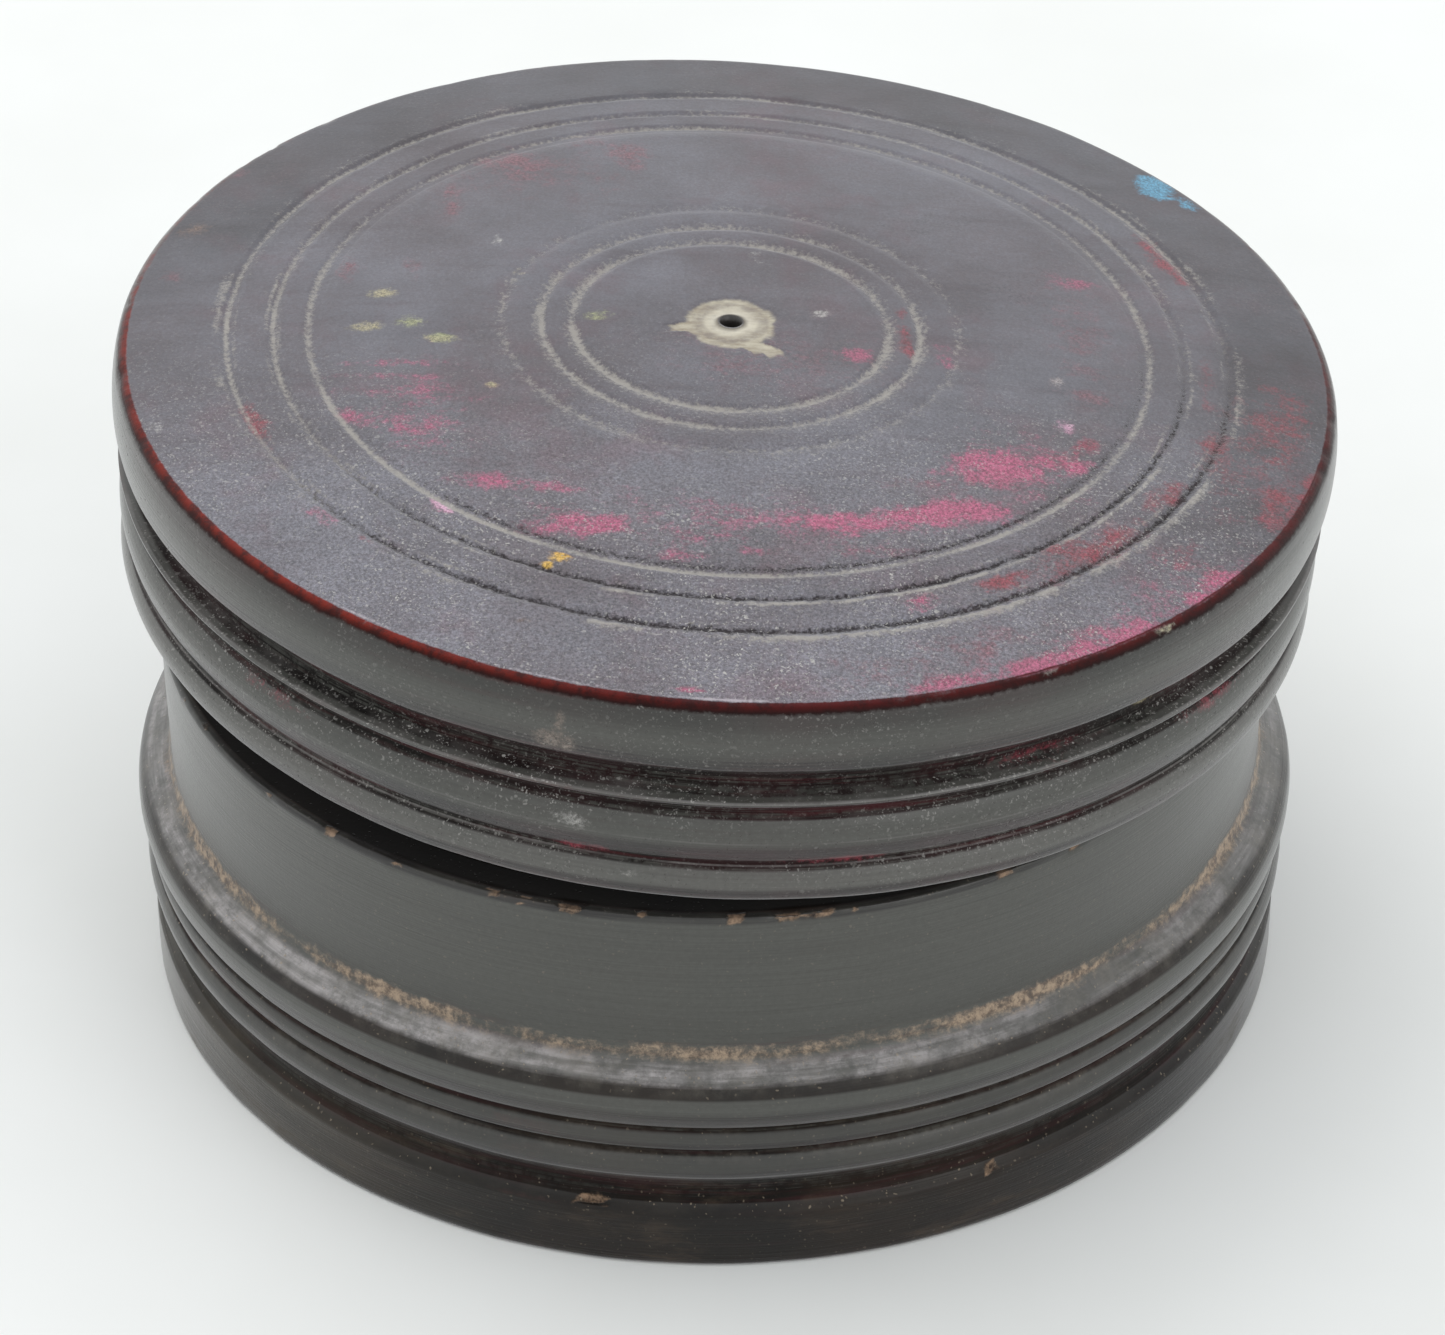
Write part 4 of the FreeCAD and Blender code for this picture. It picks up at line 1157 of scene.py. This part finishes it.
def board_wood():
    g = Graph("board_wood")
    rings = g.streaks((60, 900, 900), 5, 0.6, 41.0, distort=0.4)
    g.colour = g.mix(g.window(rings, 0.35, 0.65), (0.3, 0.19, 0.1), (0.16, 0.09, 0.045))
    g.paint(g.window(g.noise(110, 5, 0.7, seed=42.0), 0.5, 0.62), (0.03, 0.012, 0.05), 0.8)
    return g.finish(g.window(rings, 0.2, 0.8, 0.6, 0.8), g.bump(rings, 0.0001, 0.5))


def felt_wool():
    g = Graph("felt")
    fibres = g.streaks((1500, 1500, 3500), 6, 0.75, 51.0, distort=1.6)
    matt = g.noise(260, 5, 0.7, seed=52.0)
    g.colour = g.mix(g.window(matt, 0.3, 0.7), (0.16, 0.14, 0.15), (0.26, 0.23, 0.23))
    g.paint(g.window(fibres, 0.4, 0.7), (0.1, 0.08, 0.11))
    g.paint(g.window(g.noise(80, 4, 0.6, seed=53.0), 0.35, 0.6), (0.035, 0.012, 0.06), 0.85)
    return g.finish(g.window(matt, 0.2, 0.8, 0.85, 0.95), g.bump(fibres, 0.0004, 0.9),
                    Sheen_Weight=0.35, Sheen_Roughness=0.6)


def inked_cloth():
    """Plain-woven cotton soaked with violet ink, blotchy."""
    g = Graph("inked_cloth")
    warp_bend = g.noise(90, 2, 0.5, seed=61.0)
    turn = 2 * math.pi * THREADS_PER_METRE
    across = g.math("SINE", g.blend(g.x, turn, g.times(warp_bend, 6.0)))
    along = g.math("SINE", g.blend(g.y, turn, g.times(warp_bend, 5.0)))
    weave = g.blend(g.times(across, along), 0.5, 0.5)
    slub = g.streaks((120, 2200, 500), 4, 0.6, 62.0)
    soak = g.noise(48, 6, 0.62, distort=0.6, seed=63.0)
    g.colour = g.mix(g.window(soak, 0.36, 0.62), (0.01, 0.004, 0.02), (0.05, 0.014, 0.075))
    g.paint(g.window(g.noise(26, 5, 0.6, seed=64.0), 0.56, 0.72), (0.115, 0.05, 0.12), 0.55)
    g.paint(g.window(weave, 0.1, 0.7, 1.0, 0.0), (0.006, 0.003, 0.01), 0.55)
    g.paint(g.window(slub, 0.55, 0.75), (0.09, 0.04, 0.1), 0.3)
    relief = g.blend(slub, 0.7, weave)
    return g.finish(g.window(soak, 0.3, 0.7, 0.55, 0.85), g.bump(relief, 0.00018, 0.8),
                    Sheen_Weight=0.2, Sheen_Roughness=0.5)


def linen_thread():
    g = Graph("thread")
    ply = g.streaks((2600, 2600, 5200), 5, 0.7, 71.0, distort=0.8)
    g.colour = g.mix(g.window(ply, 0.35, 0.65), (0.17, 0.12, 0.075), (0.36, 0.29, 0.2))
    g.paint(g.window(g.noise(150, 4, 0.6, seed=72.0), 0.45, 0.6), (0.05, 0.02, 0.08), 0.7)
    return g.finish(g.window(ply, 0.2, 0.8, 0.7, 0.9), g.bump(ply, 0.0001, 0.8))


def floor_paint():
    """Plain pale paint, very slightly clouded."""
    g = Graph("floor_paint")
    cloud = g.noise(9, 5, 0.6, seed=81.0)
    g.colour = g.mix(g.window(cloud, 0.3, 0.7), (0.8, 0.81, 0.79), (0.86, 0.87, 0.86))
    return g.finish(g.window(cloud, 0.2, 0.8, 0.55, 0.7))


# ---------------------------------------------------------------- the pad

BOARD_OUTLINE = (
    (0, 18.5), (32.4, 18.5), (32.8, 18.9, 0.12), (32.8, 21.1), (32.4, 21.5, 0.12), (0, 21.5),
)
LOWER_FELT_OUTLINE = (
    (0, 21.5), (33.6, 21.5), (33.9, 21.9, 0.1), (33.9, 26.6), (33.6, 27.0, 0.1), (0, 27.0),
)
UPPER_FELT_OUTLINE = (
    (0, 27.0), (33.6, 27.0), (33.9, 27.4, 0.1), (33.9, 32.5), (31.9, 34.5, 0.4), (8.0, 35.1),
    (0, 35.1),
)
CLOTH_OUTLINE = (
    (22.0, 18.2), (32.9, 18.05), (33.4, 18.45, 0.15), (33.4, 20.2), (34.4, 21.5, -0.2),
    (34.45, 31.9), (33.9, 33.9, 0.25), (31.9, 35.05, 0.3), (8.0, 35.6), (0, 35.65),
)
CLOTH_THICKNESS = 0.4
PAD_SEGMENTS = 240
PLEATS = 44
SIM_SCALE = 20.0
SIM_SEGMENTS = 176
SIM_FRAMES = 20
SIM_TIED_BELOW = 20.4
SIM_STIFFNESS = {"tension": 12.0, "compression": 6.0, "shear": 4.0, "bending": 0.4}
CLOTH_OUTWARD_LIMITS = (-0.12, 0.28)
CLOTH_UPWARD_LIMITS = (-0.1, 0.8)
THREAD = 0.5
WINDING_RADIUS = 33.72
WINDING_LOW = 18.85
WINDING_PITCH = 0.5
WINDING_TURNS = 3


def make_board(material):
    """The turned board under the felts, with eased edges."""
    lathe = Turning(trace(BOARD_OUTLINE, 0.9), PAD_SEGMENTS)
    x, y, z = lathe.places()
    lathe.push(0.04 * field(x / 5, y / 5, z / 3, 81, 2) * (z > 18.6) * (lathe.radius > 1) - 0.05)
    board = lathe.build("pad_board_turned", material)
    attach(board, "base")
    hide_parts("pad_board")


def make_felt(name, node, outline, material, seed):
    """A disc of matted wool with a slightly uneven face and soft edges."""
    lathe = Turning(trace(outline, 0.6), PAD_SEGMENTS)
    x, y, z = lathe.places()
    rough = 0.05 * field(x / 2.2, y / 2.2, z / 2.2, seed, 3) - 0.09
    lathe.push(rough * (lathe.radius > 1))
    felt = lathe.build(name, material)
    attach(felt, "base")
    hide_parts(node)


def run_of(points):
    """Distance along an outline at each of its points."""
    steps = np.linalg.norm(np.diff(points, axis=0), axis=1)
    return np.concatenate([[0], np.cumsum(steps)])


def pleats(turn):
    """Uneven waves round the pad, from -1 to 1."""
    uneven = field(10 * np.cos(turn) / 3, 10 * np.sin(turn) / 3, turn * 0, 91, 2)
    return np.sin(PLEATS * turn + 1.8 * uneven)


def settle_cloth():
    """Lets a coarse copy of the cover swell and gather as cloth, tied in below by the thread.

    It returns the copy's distances along the outline, and how far each of its points moved
    outward from the axis and upward, in mm. The copy is made SIM_SCALE times larger, because
    the solver works best on things about a metre across.
    """
    points = trace(CLOTH_OUTLINE, 1.1)
    points[-1, 0] = 0.0
    lathe = Turning(points, SIM_SEGMENTS)
    gather = smooth(lathe.height, 27.0, 20.5) * smooth(lathe.radius, 20, 31)
    lathe.radius = lathe.radius + 0.14 * gather * pleats(lathe.turns)
    copy = lathe.build("cloth_copy")
    mesh = copy.data
    start = np.empty(len(mesh.vertices) * 3)
    mesh.vertices.foreach_get("co", start)
    mesh.vertices.foreach_set("co", start * SIM_SCALE)
    held = copy.vertex_groups.new(name="held")
    flat = start.reshape(-1, 3) / MM
    tied = np.flatnonzero(flat[:, 2] < SIM_TIED_BELOW)
    held.add(tied.tolist(), 1.0, "REPLACE")
    cloth = copy.modifiers.new("settle", "CLOTH")
    cloth.settings.quality = 6
    cloth.settings.mass = 0.15
    for kind, value in SIM_STIFFNESS.items():
        setattr(cloth.settings, f"{kind}_stiffness", value)
    cloth.settings.shrink_min = -0.006
    cloth.settings.use_pressure = True
    cloth.settings.uniform_pressure_force = 0.2
    cloth.settings.vertex_group_mass = "held"
    cloth.settings.effector_weights.gravity = 0.0
    cloth.point_cache.frame_end = SIM_FRAMES
    scene = bpy.context.scene
    for step in range(1, SIM_FRAMES + 1):
        scene.frame_set(step)
    settled = copy.evaluated_get(bpy.context.evaluated_depsgraph_get()).data
    after = np.empty(len(settled.vertices) * 3)
    settled.vertices.foreach_get("co", after)
    after = after.reshape(-1, 3) / SIM_SCALE / MM
    bpy.data.objects.remove(copy)
    scene.frame_set(1)
    rings = len(points) - 1
    outward = np.hypot(after[:, 0], after[:, 1]) - np.hypot(flat[:, 0], flat[:, 1])
    upward = after[:, 2] - flat[:, 2]
    moved = []
    for value in (outward, upward):
        grid = value[:rings * SIM_SEGMENTS].reshape(rings, SIM_SEGMENTS)
        tip = np.full((1, SIM_SEGMENTS), value[rings * SIM_SEGMENTS])
        moved.append(np.concatenate([grid, tip]))
    return run_of(points), moved[0], moved[1]


def soft_cap(value, low, high):
    """Holds value between low and high without a sharp corner."""
    return np.where(value > 0, high * np.tanh(value / high), low * np.tanh(value / low))


def spread(grid, grid_run, run, segments):
    """A coarse grid's values at other distances along the outline and at more turns."""
    along = np.stack([np.interp(run, grid_run, column) for column in grid.T], 1)
    place = np.arange(segments) * grid.shape[1] / segments
    low = np.floor(place).astype(int)
    share = place - low
    return along[:, low] * (1 - share) + along[:, (low + 1) % grid.shape[1]] * share


def make_cloth(material):
    """The cloth drawn over the felts: smooth on top, gathered into pleats below."""
    points = trace(CLOTH_OUTLINE, 0.45)
    inner = points - normals_of(points) * CLOTH_THICKNESS
    inner[-1, 0] = 0.0
    lathe = Turning(np.concatenate([inner[::-1], points]), PAD_SEGMENTS)
    x, y, z = lathe.places()
    gather = smooth(z, 30.0, 20.5) * smooth(lathe.radius, 20, 31)
    waves = pleats(lathe.turns)
    under = smooth(z, 19.5, 18.4)
    dimple = 0.12 * field(x / 9, y / 9, z / 9, 92, 3) * smooth(z, 30, 35)
    lathe.radius = lathe.radius + 0.16 * gather * waves * (1 - under) - 0.12 * gather
    lathe.height = lathe.height + dimple + 0.1 * under * waves
    grid_run, outward, upward = settle_cloth()
    run = run_of(points)
    outward = soft_cap(spread(outward, grid_run, run, PAD_SEGMENTS), *CLOTH_OUTWARD_LIMITS)
    upward = soft_cap(spread(upward, grid_run, run, PAD_SEGMENTS), *CLOTH_UPWARD_LIMITS)
    lathe.radius = lathe.radius + np.concatenate([outward[::-1], outward]) * (lathe.radius > 1)
    lathe.height = lathe.height + np.concatenate([upward[::-1], upward])
    cloth = lathe.build("pad_cloth_cover", material)
    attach(cloth, "base")
    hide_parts("pad_cloth")


def make_thread(material):
    """The thread wound three times round the cloth, a two-ply twist with its ends tucked in."""
    steps, sides = 720 * WINDING_TURNS, 10
    share = np.linspace(0, 1, steps + 1)[:, None]
    turn = share * WINDING_TURNS * 2 * math.pi
    twist = turn * 16
    around = np.linspace(0, 2 * math.pi, sides, endpoint=False)[None, :]
    fat = THREAD / 2 * (0.82 + 0.18 * np.cos(2 * (around - twist)))
    fat = fat * smooth(np.minimum(share, 1 - share), -0.0004, 0.0008)
    slack = 0.03 * field(6 * np.cos(turn), 6 * np.sin(turn), share * 9, 95, 2)
    middle = WINDING_RADIUS + slack
    height = WINDING_LOW + WINDING_PITCH * WINDING_TURNS * share
    radius = middle + fat * np.cos(around)
    z = height + fat * np.sin(around)
    co = np.stack([radius * np.cos(turn), radius * np.sin(turn), z], -1).reshape(-1, 3) * MM
    here = np.arange(sides)
    beside = (here + 1) % sides
    faces = []
    for step in range(steps):
        low, high = step * sides, (step + 1) * sides
        faces.extend(np.stack([low + here, high + here, high + beside, low + beside], 1).tolist())
    faces.append(here.tolist())
    faces.append((steps * sides + here[::-1]).tolist())
    thread = add_mesh("pad_thread", co.tolist(), faces, material)
    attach(thread, "base")
    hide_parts("pad_binding")


# ---------------------------------------------------------------- floor


def make_floor():
    corners = [(x * FLOOR_HALF, y * FLOOR_HALF, 0) for x, y in ((-1, -1), (1, -1), (1, 1), (-1, 1))]
    floor = add_mesh("floor", corners, [(0, 1, 2, 3)], floor_paint())


# ---------------------------------------------------------------- the whole scene

make_camera()
make_world()
for softbox in SOFTBOXES:
    make_area_light(*softbox)
make_floor()

felt = felt_wool()
make_lid(lid_lacquer())
make_base(base_lacquer())
make_board(board_wood())
make_felt("felt_lower_wool", "felt_lower", LOWER_FELT_OUTLINE, felt, 83)
make_felt("felt_upper_wool", "felt_upper", UPPER_FELT_OUTLINE, felt, 84)
make_cloth(inked_cloth())
make_thread(linen_thread())
